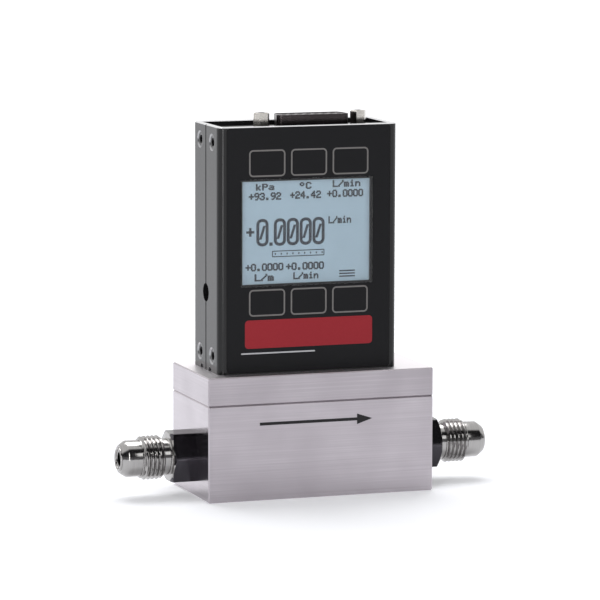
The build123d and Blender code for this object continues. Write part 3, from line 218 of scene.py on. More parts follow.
def softbox(name, place, aim, width, length, power):
    """A rectangular lamp panel at place, turned towards aim and hidden from the eye."""
    lamp_data = bpy.data.lights.new(name, "AREA")
    lamp_data.shape = "RECTANGLE"
    lamp_data.size = width
    lamp_data.size_y = length
    lamp_data.energy = power
    lamp = bpy.data.objects.new(name, lamp_data)
    lamp.location = place
    lamp.rotation_euler = (Vector(aim) - Vector(place)).to_track_quat("-Z", "Y").to_euler()
    lamp.visible_camera = False
    bpy.context.collection.objects.link(lamp)


# Each lamp's place and aim, its width and length in metres, and its power in watts.
softbox("overhead_panel", (0.05, 0.45, 1.05), (0, 0, 0.05), 0.9, 0.7, 9.0)
softbox("left_strip", (-0.34, -0.50, 0.20), (0, 0, 0.07), 0.09, 0.5, 1.0)
softbox("front_fill", (0.5, -1.5, 0.9), (0, 0, 0.06), 0.6, 0.6, 2.0)


# ================================================================ Flow body and top plate
# Two blocks milled from 316L stainless bar and bolted together from below. The long faces
# are brushed along the bar with a fine belt, and the ends and the tops are left smoother.
def put_on(node_names, material):
    """Gives CAD nodes one material in all their slots."""
    for node_name in node_names:
        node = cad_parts[node_name]
        node.data.materials.clear()
        node.data.materials.append(material)


def brushed_metal(name, tone, dark_tone, top_painted_light_tone, long_rough, end_rough, top_rough, streak, scratch):
    """Metal brushed along X on its long faces and along Y on its ends, with a plain top in its own tone;
    where that tone is lighter than the sides, it is painted light.

    The streaks have a real length and width, in metres.
    """
    material, tree = empty_material(name)
    texture = add(tree, "ShaderNodeTexCoord")
    along_x = (1 / streak, 1 / scratch, 1 / scratch)
    along_y = (1 / scratch, 1 / streak, 1 / scratch)
    brushings = []
    for scale in (along_x, along_y):
        mapped = add(tree, "ShaderNodeMapping", {"Vector": texture.outputs["Object"], "Scale": scale})
        brushings.append(add(tree, "ShaderNodeTexNoise", {
            "Vector": mapped.outputs[0],
            "Scale": 1.0,
            "Detail": 3.0,
        }))
    facing = add(tree, "ShaderNodeSeparateXYZ", {"Vector": texture.outputs["Normal"]})
    faces = {}
    for axis, least in (("X", 0.7), ("Y", 0.7), ("Z", 0.8)):
        size = add(tree, "ShaderNodeMath", {0: facing.outputs[axis]}, operation="ABSOLUTE")
        faces[axis] = add(tree, "ShaderNodeMath", {0: size.outputs[0], 1: least}, operation="GREATER_THAN")
    streaks = add(tree, "ShaderNodeMix", {"Factor": faces["X"].outputs[0]}, data_type="FLOAT")
    tree.links.new(brushings[0].outputs["Fac"], streaks.inputs["A"])
    tree.links.new(brushings[1].outputs["Fac"], streaks.inputs["B"])
    handling_size = 0.017
    handling = add(tree, "ShaderNodeTexNoise", {
        "Vector": texture.outputs["Object"],
        "Scale": 1 / handling_size,
        "Detail": 2.0,
    })
    mottle = add(tree, "ShaderNodeMath", {
        0: streaks.outputs["Result"],
        1: handling.outputs["Fac"],
        2: 0.1,
    }, operation="MULTIPLY_ADD")
    side_tone = add(tree, "ShaderNodeMix", {"Factor": mottle.outputs[0]}, data_type="RGBA")
    side_tone.inputs["A"].default_value = colour(dark_tone)
    side_tone.inputs["B"].default_value = colour(tone)
    # Up-facing faces take the top tone, which can be set lighter than the sides as painted light.
    tones = add(tree, "ShaderNodeMix", {"Factor": faces["Z"].outputs[0]}, data_type="RGBA")
    tree.links.new(side_tone.outputs["Result"], tones.inputs["A"])
    tones.inputs["B"].default_value = colour(top_painted_light_tone)
    brushed_rough = add(tree, "ShaderNodeMapRange", {
        "Value": streaks.outputs["Result"],
        "To Min": long_rough - 0.06,
        "To Max": long_rough + 0.08,
    })
    smooth_rough = add(tree, "ShaderNodeMapRange", {
        "Value": faces["Z"].outputs[0],
        "To Min": end_rough,
        "To Max": top_rough,
    })
    rough = add(tree, "ShaderNodeMix", {"Factor": faces["Y"].outputs[0]}, data_type="FLOAT")
    tree.links.new(smooth_rough.outputs["Result"], rough.inputs["A"])
    tree.links.new(brushed_rough.outputs["Result"], rough.inputs["B"])
    bump = add(tree, "ShaderNodeBump", {
        "Height": streaks.outputs["Result"],
        "Strength": 0.35,
        "Distance": 0.00002,
    })
    shader = add(tree, "ShaderNodeBsdfPrincipled", {
        "Base Color": tones.outputs["Result"],
        "Roughness": rough.outputs["Result"],
        "Normal": bump.outputs["Normal"],
        "Metallic": 1.0,
    })
    add(tree, "ShaderNodeOutputMaterial", {"Surface": shader.outputs[0]})
    return material


belt_line, belt_run = 0.00035, 0.045

# Brushed 316L: a pale, faintly rosy grey with level lines 45 mm long. The ends mirror the fittings softly,
# and the top is painted lightest as painted light. The belt's real lines are 0.05 mm apart and wouldn't
# show, so they are drawn 0.35 mm apart.
block_steel = brushed_metal(
    "brushed_316l_stainless",
    "#ded8dd", "#a8a1a7", "#e4e0e3",
    long_rough=0.34,
    end_rough=0.17,
    top_rough=0.40,
    streak=belt_run,
    scratch=belt_line,
)
put_on(("flow_body",), block_steel)

# The plate is the same steel painted a shade darker on all but its top, as painted shade that evens out its
# brighter reflection.
plate_steel_painted_shade = brushed_metal(
    "brushed_316l_painted_shade_plate",
    "#d8d2d7", "#9f989e", "#e4e0e3",
    long_rough=0.34,
    end_rough=0.17,
    top_rough=0.40,
    streak=belt_run,
    scratch=belt_line,
)
put_on(("top_plate",), plate_steel_painted_shade)
body_low, body_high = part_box("flow_body")
plate_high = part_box("top_plate")[1]


# ================================================================ Flow arrow
# The arrow that gives the flow direction is marked into the front of the flow body with a
# laser, which leaves a thin dark oxide on the steel and hardly any depth.
def object_from(name, vertices, faces, material, smooth=False):
    """A mesh object in the instrument's frame that rides on the housing."""
    mesh = bpy.data.meshes.new(name)
    mesh.from_pydata(vertices, [], faces)
    mesh.materials.append(material)
    item = bpy.data.objects.new(name, mesh)
    bpy.context.collection.objects.link(item)
    built = bmesh.new()
    built.from_mesh(mesh)
    bmesh.ops.recalc_face_normals(built, faces=built.faces)
    built.to_mesh(mesh)
    built.free()
    if smooth:
        mesh.shade_smooth()
        mesh.set_sharp_from_angle(angle=math.radians(35))
    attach(item, "housing")
    return item


def slab(outline, front, back):
    """Vertices and faces of a thin plate with an outline in X and Z, facing -Y."""
    count = len(outline)
    vertices = [(x, front, z) for x, z in outline] + [(x, back, z) for x, z in outline]
    faces = [tuple(range(count)), tuple(reversed(range(count, 2 * count)))]
    for i in range(count):
        j = (i + 1) % count
        faces.append((i, j, j + count, i + count))
    return vertices, faces


def grained_finish(
    name, tone, speck_tone, grain, roughness, metallic=0.0, depth=0.00001, gloss=0.5, glow=0.0,
):
    """A fine-grained finish: two close tones and a light bump at one grain size, in metres."""
    material, tree = empty_material(name)
    texture = add(tree, "ShaderNodeTexCoord")
    speckle = add(tree, "ShaderNodeTexNoise", {
        "Vector": texture.outputs["Object"],
        "Scale": 1 / grain,
        "Detail": 3.0,
        "Roughness": 0.6,
    })
    tones = add(tree, "ShaderNodeMix", {"Factor": speckle.outputs["Fac"]}, data_type="RGBA")
    tones.inputs["A"].default_value = colour(tone)
    tones.inputs["B"].default_value = colour(speck_tone)
    rough = add(tree, "ShaderNodeMapRange", {
        "Value": speckle.outputs["Fac"],
        "To Min": roughness - 0.05,
        "To Max": roughness + 0.07,
    })
    bump = add(tree, "ShaderNodeBump", {
        "Height": speckle.outputs["Fac"],
        "Strength": 0.4,
        "Distance": depth,
    })
    shader = add(tree, "ShaderNodeBsdfPrincipled", {
        "Base Color": tones.outputs["Result"],
        "Roughness": rough.outputs["Result"],
        "Normal": bump.outputs["Normal"],
        "Metallic": metallic,
        "Specular IOR Level": gloss,
    })
    if glow:
        tree.links.new(tones.outputs["Result"], shader.inputs["Emission Color"])
        shader.inputs["Emission Strength"].default_value = glow
    add(tree, "ShaderNodeOutputMaterial", {"Surface": shader.outputs[0]})
    return material


arrow_tail, arrow_neck, arrow_tip, arrow_level = -0.0212, 0.0121, 0.0174, 0.0250
shaft_half, head_half = 0.00050, 0.00175
arrow_proud, arrow_sunk = 0.00001, 0.00002
arrow_outline = [
    (arrow_tail, arrow_level - shaft_half),
    (arrow_neck, arrow_level - shaft_half),
    (arrow_neck, arrow_level - head_half),
    (arrow_tip, arrow_level),
    (arrow_neck, arrow_level + head_half),
    (arrow_neck, arrow_level + shaft_half),
    (arrow_tail, arrow_level + shaft_half),
]

# Laser oxide: nearly black and dull beside the bright steel, with a trace of metal.
laser_oxide = grained_finish("laser_marked_oxide", "#161517", "#212022", 0.0002, 0.6, metallic=0.2)
arrow_shape = slab(arrow_outline, body_low.y - arrow_proud, body_low.y + arrow_sunk)
arrow = object_from("flow_arrow", *arrow_shape, laser_oxide)


# ================================================================ Seals
# O-rings and the valve's soft disc are moulded fluoroelastomer. The rings are pressed
# into their grooves as body, plate, fittings and sensors go together.

# Fluoroelastomer: dull black with a dry bloom, no shine on its small rounds.
elastomer = grained_finish("black_fluoroelastomer", "#131313", "#1d1d1d", 0.0004, 0.6)
put_on(("fitting_o_rings", "tap_o_rings", "sensor_o_rings", "tube_o_ring", "armature_disc"), elastomer)


# ================================================================ Flow element, valve and sensors
# The screen, the laminar element, the valve's seat, core tube, pole piece and armature and
# the pressure sensor's can are turned or pressed stainless, stacked in the flow body's
# bores. The differential sensor is moulded and is soldered to the sensor board.
def turned_metal(name, tone, dark_tone, roughness):
    """Turned metal with faint rings left by the tool along X, about 0.15 mm apart."""
    material, tree = empty_material(name)
    texture = add(tree, "ShaderNodeTexCoord")
    feed, run = 0.00015, 0.025
    mapped = add(tree, "ShaderNodeMapping", {
        "Vector": texture.outputs["Object"],
        "Scale": (1 / feed, 1 / run, 1 / run),
    })
    rings = add(tree, "ShaderNodeTexNoise", {"Vector": mapped.outputs[0], "Scale": 1.0, "Detail": 2.0})
    tones = add(tree, "ShaderNodeMix", {"Factor": rings.outputs["Fac"]}, data_type="RGBA")
    tones.inputs["A"].default_value = colour(dark_tone)
    tones.inputs["B"].default_value = colour(tone)
    rough = add(tree, "ShaderNodeMapRange", {
        "Value": rings.outputs["Fac"],
        "To Min": roughness - 0.03,
        "To Max": roughness + 0.05,
    })
    bump = add(tree, "ShaderNodeBump", {
        "Height": rings.outputs["Fac"],
        "Strength": 0.15,
        "Distance": 0.00001,
    })
    shader = add(tree, "ShaderNodeBsdfPrincipled", {
        "Base Color": tones.outputs["Result"],
        "Roughness": rough.outputs["Result"],
        "Normal": bump.outputs["Normal"],
        "Metallic": 1.0,
    })
    add(tree, "ShaderNodeOutputMaterial", {"Surface": shader.outputs[0]})
    return material


# Turned 430 stainless: mid grey with a satin shine and fine rings.
valve_steel = turned_metal("turned_430_stainless", "#c2c0be", "#a9a7a5", 0.3)
put_on(("inlet_screen", "element_spacer", "laminar_element", "temperature_probe"), valve_steel)
put_on(("valve_seat", "core_tube", "pole_piece", "armature", "coil_washer", "coil_yoke"), valve_steel)
put_on(("absolute_sensor",), valve_steel)

# Glass-filled nylon: black with a dry, finely pitted moulded skin.
black_nylon = grained_finish("black_glass_filled_nylon", "#1a1a1b", "#232324", 0.0005, 0.5)
put_on(("differential_sensor",), black_nylon)


# ================================================================ Return spring
# The valve's return spring is wound from round stainless wire. Its head rests in the pole piece and its
# foot stands on the armature. In the valve it shortens by the valve's stroke; here it is built at one
# length.
spring_low, spring_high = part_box("armature_spring")
spring_wire, spring_turns, valve_stroke = 0.00045, 5, 0.0003
steps_a_turn, wire_sides = 28, 10
spring_radius = (spring_high.x - spring_low.x) / 2 - spring_wire / 2
spring_x, spring_y = (spring_low.x + spring_high.x) / 2, (spring_low.y + spring_high.y) / 2
spring_foot, spring_head = spring_low.z + spring_wire / 2, spring_high.z - spring_wire / 2
coil_steps = spring_turns * steps_a_turn
vertices, faces = [], []
for step in range(coil_steps + 1):
    swing = 2 * math.pi * step / steps_a_turn
    rise = spring_foot + (spring_head - spring_foot) * step / coil_steps
    for side in range(wire_sides):
        turn = 2 * math.pi * side / wire_sides
        reach = spring_radius + spring_wire / 2 * math.cos(turn)
        vertices.append((
            spring_x + reach * math.cos(swing),
            spring_y + reach * math.sin(swing),
            rise + spring_wire / 2 * math.sin(turn),
        ))
for step in range(coil_steps):
    for side in range(wire_sides):
        a = step * wire_sides + side
        b = step * wire_sides + (side + 1) % wire_sides
        faces.append((a, b, b + wire_sides, a + wire_sides))
faces.append(tuple(range(wire_sides)))
faces.append(tuple(reversed(range(coil_steps * wire_sides, (coil_steps + 1) * wire_sides))))
return_spring = object_from("return_spring", vertices, faces, valve_steel, smooth=True)
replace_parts(return_spring, "armature_spring")
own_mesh(return_spring)


# ================================================================ Coil
# The coil is enamelled copper wire wound on a moulded nylon bobbin. Its two leads run up
# through the plate to the sensor board.

# Enamelled copper: orange-brown with a varnish shine.
copper_wire = turned_metal("enamelled_copper_wire", "#b0603a", "#8f4729", 0.35)
put_on(("coil_winding", "coil_leads"), copper_wire)
put_on(("coil_bobbin",), black_nylon)


# ================================================================ Fittings
# Each male face-seal fitting is turned from hexagon bar of 316L and polished, and screws
# into the end of the flow body. Its 9/16-18 gland thread is cut here as a true helix.
hex_flats, hex_length = 0.01588, 0.00794
hex_corner_cut, hex_edge_cut = 0.00009, 0.0001
neck_radius, neck_length = 0.0059, 0.0023
thread_radius, thread_length, thread_pitch, thread_depth = 0.007145, 0.0076, 0.001411, 0.00087
crest_flat, root_flat, thread_steps, run_in = 0.125, 0.25, 48, 0.0003
nose_radius, nose_length, cone_length, face_radius = 0.00595, 0.0046, 0.0019, 0.0045
bead_centre, bead_radius, bead_steps, bore_radius = 0.0035, 0.00045, 8, 0.002285
shank_radius, shank_length, gland_radius, gland_depth = 0.005555, 0.0095, 0.0047, 0.0019
port_height, edge_break, around_fitting = 0.0127, 0.0003, 96
nose_edge, cone_end_along, cone_end_wide, bore_break = 0.0001, 0.0004, 0.00035, 0.0002

# Polished 316L: a near mirror that shows the white and dark of the room as hard bands.
polished_steel = turned_metal("polished_316l_stainless", "#b3b1b0", "#959392", 0.14)

# Hexagon flats: the polished steel painted a dark grey on its six smooth flats, a painted dark reflection
# of the room.
hex_flats_painted_dark = turned_metal("hex_flats_painted_dark_reflection", "#4f4d52", "#3f3d42", 0.2)


def turned(rows, start, direction, around):
    """A closed turned surface along X from start, as vertices and faces.

    Each row gives a distance along the axis and a radius, or a function of the angle
    that gives both.
    """
    vertices, faces = [], []
    for row in rows:
        for i in range(around):
            angle = 2 * math.pi * i / around
            along, radius = row(angle) if callable(row) else row
            vertices.append((
                start[0] + direction * along,
                start[1] + radius * math.cos(angle),
                start[2] + radius * math.sin(angle),
            ))
    for row in range(len(rows)):
        following = (row + 1) % len(rows)
        for i in range(around):
            j = (i + 1) % around
            a, b = row * around + i, row * around + j
            c, d = following * around + j, following * around + i
            faces.append((a, b, c, d))
    return vertices, faces


def hexagon_radius(angle):
    """Distance from the middle to the hexagon's side, its corners turned off a little."""
    from_flat = (angle % (math.pi / 3)) - math.pi / 6
    corner = hex_flats / 2 / math.cos(math.pi / 6) - hex_corner_cut
    return min(hex_flats / 2 / math.cos(from_flat), corner)


def thread_surface(x, angle, start, end, direction):
    """Radius of the thread at a distance along the axis, run out smoothly at both ends."""
    turn = ((x - start) / thread_pitch - direction * angle / (2 * math.pi)) % 1.0
    slope = (1 - crest_flat - root_flat) / 2
    if turn < crest_flat:
        cut = 0.0
    elif turn < crest_flat + slope:
        cut = (turn - crest_flat) / slope
    elif turn < crest_flat + slope + root_flat:
        cut = 1.0
    else:
        cut = (1 - turn) / slope
    entry = min(x - start, end - x) + run_in
    return min(thread_radius - thread_depth * cut, nose_radius + entry)


def fitting(name, direction):
    """One fitting as a closed turned surface: shank, hexagon, neck, thread, nose, bead."""
    face = body_high.x
    neck_end = hex_length + neck_length
    thread_end = neck_end + thread_length
    nose_end = thread_end + nose_length
    reach = nose_end + cone_length
    flat = hex_flats / 2 - hex_edge_cut

    def hex_foot(angle):
        return 0.0, hexagon_radius(angle)

    def hex_edge(angle):
        radius = hexagon_radius(angle)
        return hex_length - hex_edge_cut - max(0.0, (radius - flat) / 2), radius

    def thread_ring(along):
        return lambda angle: (along, thread_surface(along, angle, neck_end, thread_end, direction))

    rows = [(-shank_length, bore_radius), (-shank_length, shank_radius - edge_break)]
    rows += [(-shank_length + edge_break, shank_radius), (-gland_depth, shank_radius)]
    rows += [(-gland_depth, gland_radius), (0, gland_radius)]
    rows += [hex_foot, hex_edge, (hex_length, flat), (hex_length, neck_radius + edge_break)]
    rows += [(hex_length + edge_break, neck_radius), (neck_end, neck_radius)]
    for i in range(thread_steps + 1):
        rows.append(thread_ring(neck_end + thread_length * i / thread_steps))
    rows += [(thread_end, nose_radius), (nose_end - edge_break, nose_radius)]
    rows += [(nose_end, nose_radius - nose_edge), (reach - cone_end_along, face_radius + cone_end_wide)]
    rows.append((reach, face_radius))
    for i in range(bead_steps + 1):
        swing = math.pi * i / bead_steps
        across = bead_centre + bead_radius * math.cos(swing)
        rows.append((reach + bead_radius * math.sin(swing), across))
    rows += [(reach, bore_radius + bore_break), (reach - bore_break, bore_radius)]
    shape = turned(rows, (direction * face, 0.0, port_height), direction, around_fitting)
    item = object_from(name, *shape, polished_steel, smooth=True)
    # The hexagon's six flats take a second material, their painted dark reflection.
    item.data.materials.append(hex_flats_painted_dark)
    nearly_flat = 0.98 * hex_flats / 2
    for side in item.data.polygons:
        across = math.hypot(side.center.y, side.center.z - port_height)
        along = abs(side.center.x) - face
        if across > nearly_flat and 0 < along < hex_length - 2 * hex_edge_cut:
            side.material_index = 1
    return item


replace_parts(fitting("inlet_fitting_threaded", -1), "inlet_fitting")
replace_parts(fitting("outlet_fitting_threaded", 1), "outlet_fitting")


# ================================================================ Hidden screws
# Plain stainless cap screws hold the body to the plate from below, the base frame to the
# plate, and the boards to their posts.

# Stainless screws: cold-headed, light grey, with a soft shine.
screw_steel = turned_metal("headed_a2_stainless", "#bdbcbb", "#a2a09f", 0.26)
put_on(("block_screws", "base_screws", "board_screws"), screw_steel)


# ================================================================ Base frame and top panel
# The base frame is milled from bare aluminium and screwed to the plate inside the sleeve.
# The top panel closes the sleeve a little below its rim and carries the connector.

# Milled aluminium: light grey with short, fairly coarse cutter lines.
frame_metal = brushed_metal(
    "milled_6061_aluminium",
    "#dcdcde", "#b9b9bc", "#dcdcde",
    long_rough=0.34,
    end_rough=0.3,
    top_rough=0.3,
    streak=0.02,
    scratch=0.0003,
)
put_on(("base_frame",), frame_metal)

# Powder coat: black and matt, with a fine orange peel that breaks up any reflection.
panel_coat = grained_finish("matt_black_powder_coat", "#121213", "#19191a", 0.0003, 0.55)
put_on(("top_panel",), panel_coat)


# ================================================================ Circuit boards
# Three glass-epoxy boards: one upright behind the display, one behind the connector and
# one flat on the plate for the sensors, each with its moulded headers and parts.

# Solder mask: deep green and glossy, with slow waves over the copper.
solder_mask = grained_finish("green_solder_mask", "#0f5a34", "#16693d", 0.0015, 0.32)
put_on(("display_board", "main_board", "sensor_board"), solder_mask)
put_on(("board_header", "sensor_header"), black_nylon)

# Moulded epoxy: charcoal and dull, as chips are.
moulded_epoxy = grained_finish("moulded_epoxy", "#1c1d1f", "#26272a", 0.0003, 0.6)
put_on(("processor_chip",), moulded_epoxy)


# ================================================================ Sleeve shells
# Two channels bent from aluminium sheet meet at a seam in the middle of each side. They
# are anodised black after bending, and their top rim is sawn and dressed last, so it is
# left bare.
shell_low, shell_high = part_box("rear_shell")
etch_size, rim_depth = 0.0004, 0.00032

# Black anodising: a deep satin black over etched metal. It mirrors the room only at a
# glancing angle, so the side looks grey and the front nearly black. The bare rim is a
# bright line. The etch's real pits are 0.05 mm wide and are drawn at 0.4 mm to show.
shell_coat, tree = empty_material("black_anodised_aluminium")
texture = add(tree, "ShaderNodeTexCoord")
place = add(tree, "ShaderNodeSeparateXYZ", {"Vector": texture.outputs["Object"]})
facing = add(tree, "ShaderNodeSeparateXYZ", {"Vector": texture.outputs["Normal"]})
etch = add(tree, "ShaderNodeTexNoise", {
    "Vector": texture.outputs["Object"],
    "Scale": 1 / etch_size,
    "Detail": 4.0,
})
black = add(tree, "ShaderNodeMix", {"Factor": etch.outputs["Fac"]}, data_type="RGBA")
black.inputs["A"].default_value = colour("#151516")
black.inputs["B"].default_value = colour("#1e1e1f")
at_rim = add(tree, "ShaderNodeMath", {
    0: place.outputs["Z"],
    1: shell_high.z - rim_depth,
}, operation="GREATER_THAN")
faces_up = add(tree, "ShaderNodeMath", {0: facing.outputs["Z"], 1: 0.5}, operation="GREATER_THAN")
bare = add(tree, "ShaderNodeMath", {0: at_rim.outputs[0], 1: faces_up.outputs[0]}, operation="MULTIPLY")
skin = add(tree, "ShaderNodeMix", {"Factor": bare.outputs[0]}, data_type="RGBA")
tree.links.new(black.outputs["Result"], skin.inputs["A"])
skin.inputs["B"].default_value = colour("#e6e6e8")
rough = add(tree, "ShaderNodeMapRange", {"Value": etch.outputs["Fac"], "To Min": 0.11, "To Max": 0.19})
bump = add(tree, "ShaderNodeBump", {
    "Height": etch.outputs["Fac"],
    "Strength": 0.25,
    "Distance": 0.00001,
})
shader = add(tree, "ShaderNodeBsdfPrincipled", {
    "Base Color": skin.outputs["Result"],
    "Metallic": bare.outputs[0],
    "Roughness": rough.outputs["Result"],
    "Normal": bump.outputs["Normal"],
    "Specular IOR Level": 0.3,
})
add(tree, "ShaderNodeOutputMaterial", {"Surface": shader.outputs[0]})
put_on(("front_shell", "rear_shell"), shell_coat)


# ================================================================ Side screws
# Eight countersunk socket screws of black-oxide steel hold the shells to the base frame
# and the top panel. Each head stands a little below the face of the sheet.
def gather(parts):
    """Joins several (vertices, faces) pairs into one."""
    vertices, faces = [], []
    for some_vertices, some_faces in parts:
        start = len(vertices)
        vertices += some_vertices
        faces += [tuple(i + start for i in face) for face in some_faces]
    return vertices, faces


screws_low, screws_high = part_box("side_screws")
head_radius, head_height, screw_shank, screw_length = 0.0027, 0.0013, 0.0014, 0.0050
head_sink, socket_flats, socket_depth, drill_point = 0.00035, 0.0025, 0.0013, 0.0004
head_edge, socket_edge, around_screw, least_radius = 0.0001, 0.0003, 36, 0.0001
screw_spots = [
    (x, y, z, direction)
    for x, direction in ((shell_low.x, -1), (shell_high.x, 1))
    for y in (screws_low.y + head_radius, screws_high.y - head_radius)
    for z in (screws_low.z + head_radius, screws_high.z - head_radius)
]


def socket_ring(along):
    """A ring of the screw's hexagon socket at one depth."""
    def point(angle):
        from_flat = (angle % (math.pi / 3)) - math.pi / 6
        return along, socket_flats / 2 / math.cos(from_flat)
    return point


socket_floor = -head_sink - socket_depth
head_face = head_radius - head_sink - head_edge
screw_rows = [(socket_floor - drill_point, least_radius), socket_ring(socket_floor)]
screw_rows += [socket_ring(-head_sink - head_edge), (-head_sink, socket_flats / 2 + socket_edge)]
screw_rows += [(-head_sink, head_face), (-head_sink - head_edge, head_face)]
screw_rows += [(head_edge - head_height, screw_shank), (-screw_length, screw_shank)]
screw_rows.append((-screw_length, least_radius))
screw_shapes = [turned(screw_rows, (x, y, z), way, around_screw) for x, y, z, way in screw_spots]

# Black oxide: black like the sleeve, with a thin oily shine on the heads.
black_oxide = grained_finish("black_oxide_steel", "#161617", "#202022", 0.0003, 0.2)
side_screws = object_from("side_screws_socket_head", *gather(screw_shapes), black_oxide, smooth=True)
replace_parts(side_screws, "side_screws")


# ================================================================ Cut edges of the sleeve
# The countersinks and the two small notches at the foot of each side are cut after the
# sheet is anodised, so a thin skin of bare aluminium shows inside them.

# Cut aluminium: light grey and smooth, a small glint inside each hole.
cut_metal = turned_metal("cut_bare_aluminium", "#b4b4b6", "#9c9c9e", 0.28)
skin_thickness, skin_proud, cone_sink = 0.00004, 0.00001, 0.00042
cone_rows = [
    (skin_proud, head_radius - skin_proud),
    (-cone_sink, head_radius - 2 * skin_proud - cone_sink),
    (-cone_sink - skin_thickness, head_radius + 3 * skin_proud - cone_sink),
    (skin_proud, head_radius + 2 * skin_thickness),
]
cone_shapes = [turned(cone_rows, (x, y, z), way, around_screw) for x, y, z, way in screw_spots]
countersink_edges = object_from("countersink_edges", *gather(cone_shapes), cut_metal)

notch_spacing, notch_radius, notch_steps, shell_wall = 0.0084, 0.0015, 12, 0.0019
half_turn = [math.pi * i / notch_steps for i in range(notch_steps + 1)]
outer_skin, inner_skin = notch_radius + skin_thickness, notch_radius - skin_thickness
arch = [(outer_skin * math.cos(angle), outer_skin * math.sin(angle)) for angle in half_turn]
arch += [(inner_skin * math.cos(angle), inner_skin * math.sin(angle)) for angle in reversed(half_turn)]
notch_shapes = []
for x, direction in ((shell_low.x, -1), (shell_high.x, 1)):
    for y in (-notch_spacing / 2, notch_spacing / 2):
        outline = [(y + across, plate_high.z + up) for across, up in arch]
        vertices, faces = slab(outline, x + direction * skin_proud, x - direction * shell_wall)
        notch_shapes.append(([(depth, across, up) for across, depth, up in vertices], faces))
notch_edges = object_from("notch_edges", *gather(notch_shapes), cut_metal)


# ================================================================ Front overlay
# A polycarbonate film is glued over the whole front and covers the display's edge and the
# keys. It is printed black on its back and finely textured on its face.

# Textured film: soft black with a fine tooth, which scatters what it mirrors. Its real
# tooth is 0.1 mm and is drawn at 0.25 mm to show.
overlay_film = grained_finish(
    "textured_polycarbonate_film", "#18181a", "#1e1e20", 0.00025, 0.5, gloss=0.15, depth=0.00002,
)
put_on(("front_overlay",), overlay_film)
film_low, film_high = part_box("front_overlay")
film_front, print_thickness = film_low.y, 0.00001
print_front, print_back = film_front - print_thickness, film_front + print_thickness
sleeve_middle = (film_low.x + film_high.x) / 2


# ---------------------------------------------------------------- Key outlines
# Six rounded frames in grey ink mark the keys, three above the display and three below.
# They are screen printed with the film.
corner_steps = 6


def rounded(centre_x, centre_z, width, height, radius):
    """Outline points of a rounded rectangle in X and Z."""
    points = []
    for sign_x, sign_z, start in ((1, 1, 0), (-1, 1, 90), (-1, -1, 180), (1, -1, 270)):
        for i in range(corner_steps + 1):
            angle = math.radians(start + 90 * i / corner_steps)
            points.append((
                centre_x + sign_x * (width / 2 - radius) + radius * math.cos(angle),
                centre_z + sign_z * (height / 2 - radius) + radius * math.sin(angle),
            ))
    return points


def ring(outer, inner, front, back):
    """Vertices and faces of a flat closed ring between two outlines, facing -Y."""
    count = len(outer)
    vertices = []
    for outline, y in ((outer, front), (inner, front), (outer, back), (inner, back)):
        vertices += [(x, y, z) for x, z in outline]
    faces = []
    for i in range(count):
        j = (i + 1) % count
        a, b, c, d = i, i + count, i + 2 * count, i + 3 * count
        e, f, g, h = j, j + count, j + 2 * count, j + 3 * count
        faces += [(a, e, f, b), (c, d, h, g), (a, c, g, e), (b, f, h, d)]
    return vertices, faces


key_width, key_height, key_corner, key_line = 0.0123, 0.0087, 0.0014, 0.00050
key_columns, key_rows = (-0.0142, 0.0, 0.0142), (0.06805, 0.02295)
outlines = []
for level in key_rows:
    for column in key_columns:
        centre = (sleeve_middle + column, plate_high.z + level)
        outer = rounded(*centre, key_width, key_height, key_corner)
        inner = rounded(*centre, key_width - 2 * key_line, key_height - 2 * key_line, key_corner - key_line)
        outlines.append(ring(outer, inner, print_front, print_back))

# Grey ink: a thin warm grey line, quite dull.
grey_ink = grained_finish("grey_screen_ink", "#6c6967", "#7a7775", 0.0003, 0.5)
key_outlines = object_from("key_outlines", *gather(outlines), grey_ink)


# ---------------------------------------------------------------- Red field and silver line
# Below the keys a plain red field with rounded corners and a thin silver line are screen
# printed on the film.
field_width, field_height, field_corner, field_level = 0.0436, 0.0092, 0.0012, 0.0128
field_place = (sleeve_middle + 0.0001, plate_high.z + field_level)

# Red ink: a strong dark red with a slight mottle from the screen, half dull.
red_ink = grained_finish("red_screen_ink", "#951c26", "#a0232d", 0.0008, 0.48, gloss=0.3)
field_shape = rounded(*field_place, field_width, field_height, field_corner)
red_field = object_from("red_field", *slab(field_shape, print_front, print_back), red_ink)

line_width, line_height, line_corner, line_level = 0.0252, 0.00045, 0.0002, 0.0066
line_place = (sleeve_middle - 0.0104, plate_high.z + line_level)

# Silver ink: fine metal flake, a soft light-grey line.
silver_ink = grained_finish("silver_screen_ink", "#b5b5b8", "#c6c6c9", 0.0003, 0.4, metallic=0.5)
line_shape = rounded(*line_place, line_width, line_height, line_corner)
silver_line = object_from("silver_line", *slab(line_shape, print_front, print_back), silver_ink)


# ================================================================ Display
# A clear acrylic lens covers a monochrome liquid crystal glass. The glass and its white
# backlight are held by a frame folded from tin-plated sheet, with a lip round the view.
lens_haze_size = 0.0033

# Clear acrylic: colourless and nearly unseen, with a faint haze on its face.
acrylic, tree = empty_material("clear_cast_acrylic")
texture = add(tree, "ShaderNodeTexCoord")
haze = add(tree, "ShaderNodeTexNoise", {
    "Vector": texture.outputs["Object"],
    "Scale": 1 / lens_haze_size,
    "Detail": 2.0,
})
rough = add(tree, "ShaderNodeMapRange", {"Value": haze.outputs["Fac"], "To Min": 0.02, "To Max": 0.06})
shader = add(tree, "ShaderNodeBsdfPrincipled", {
    "Base Color": colour("#f7fbfc"),
    "Roughness": rough.outputs["Result"],
    "IOR": 1.49,
    "Transmission Weight": 1.0,
    "Specular IOR Level": 0.1,
})
clear = add(tree, "ShaderNodeBsdfTransparent", {"Color": colour("#f4f8fa")})
rays = add(tree, "ShaderNodeLightPath")
choice = add(tree, "ShaderNodeMixShader", {
    0: rays.outputs["Is Shadow Ray"],
    1: shader.outputs[0],
    2: clear.outputs[0],
})
add(tree, "ShaderNodeOutputMaterial", {"Surface": choice.outputs[0]})
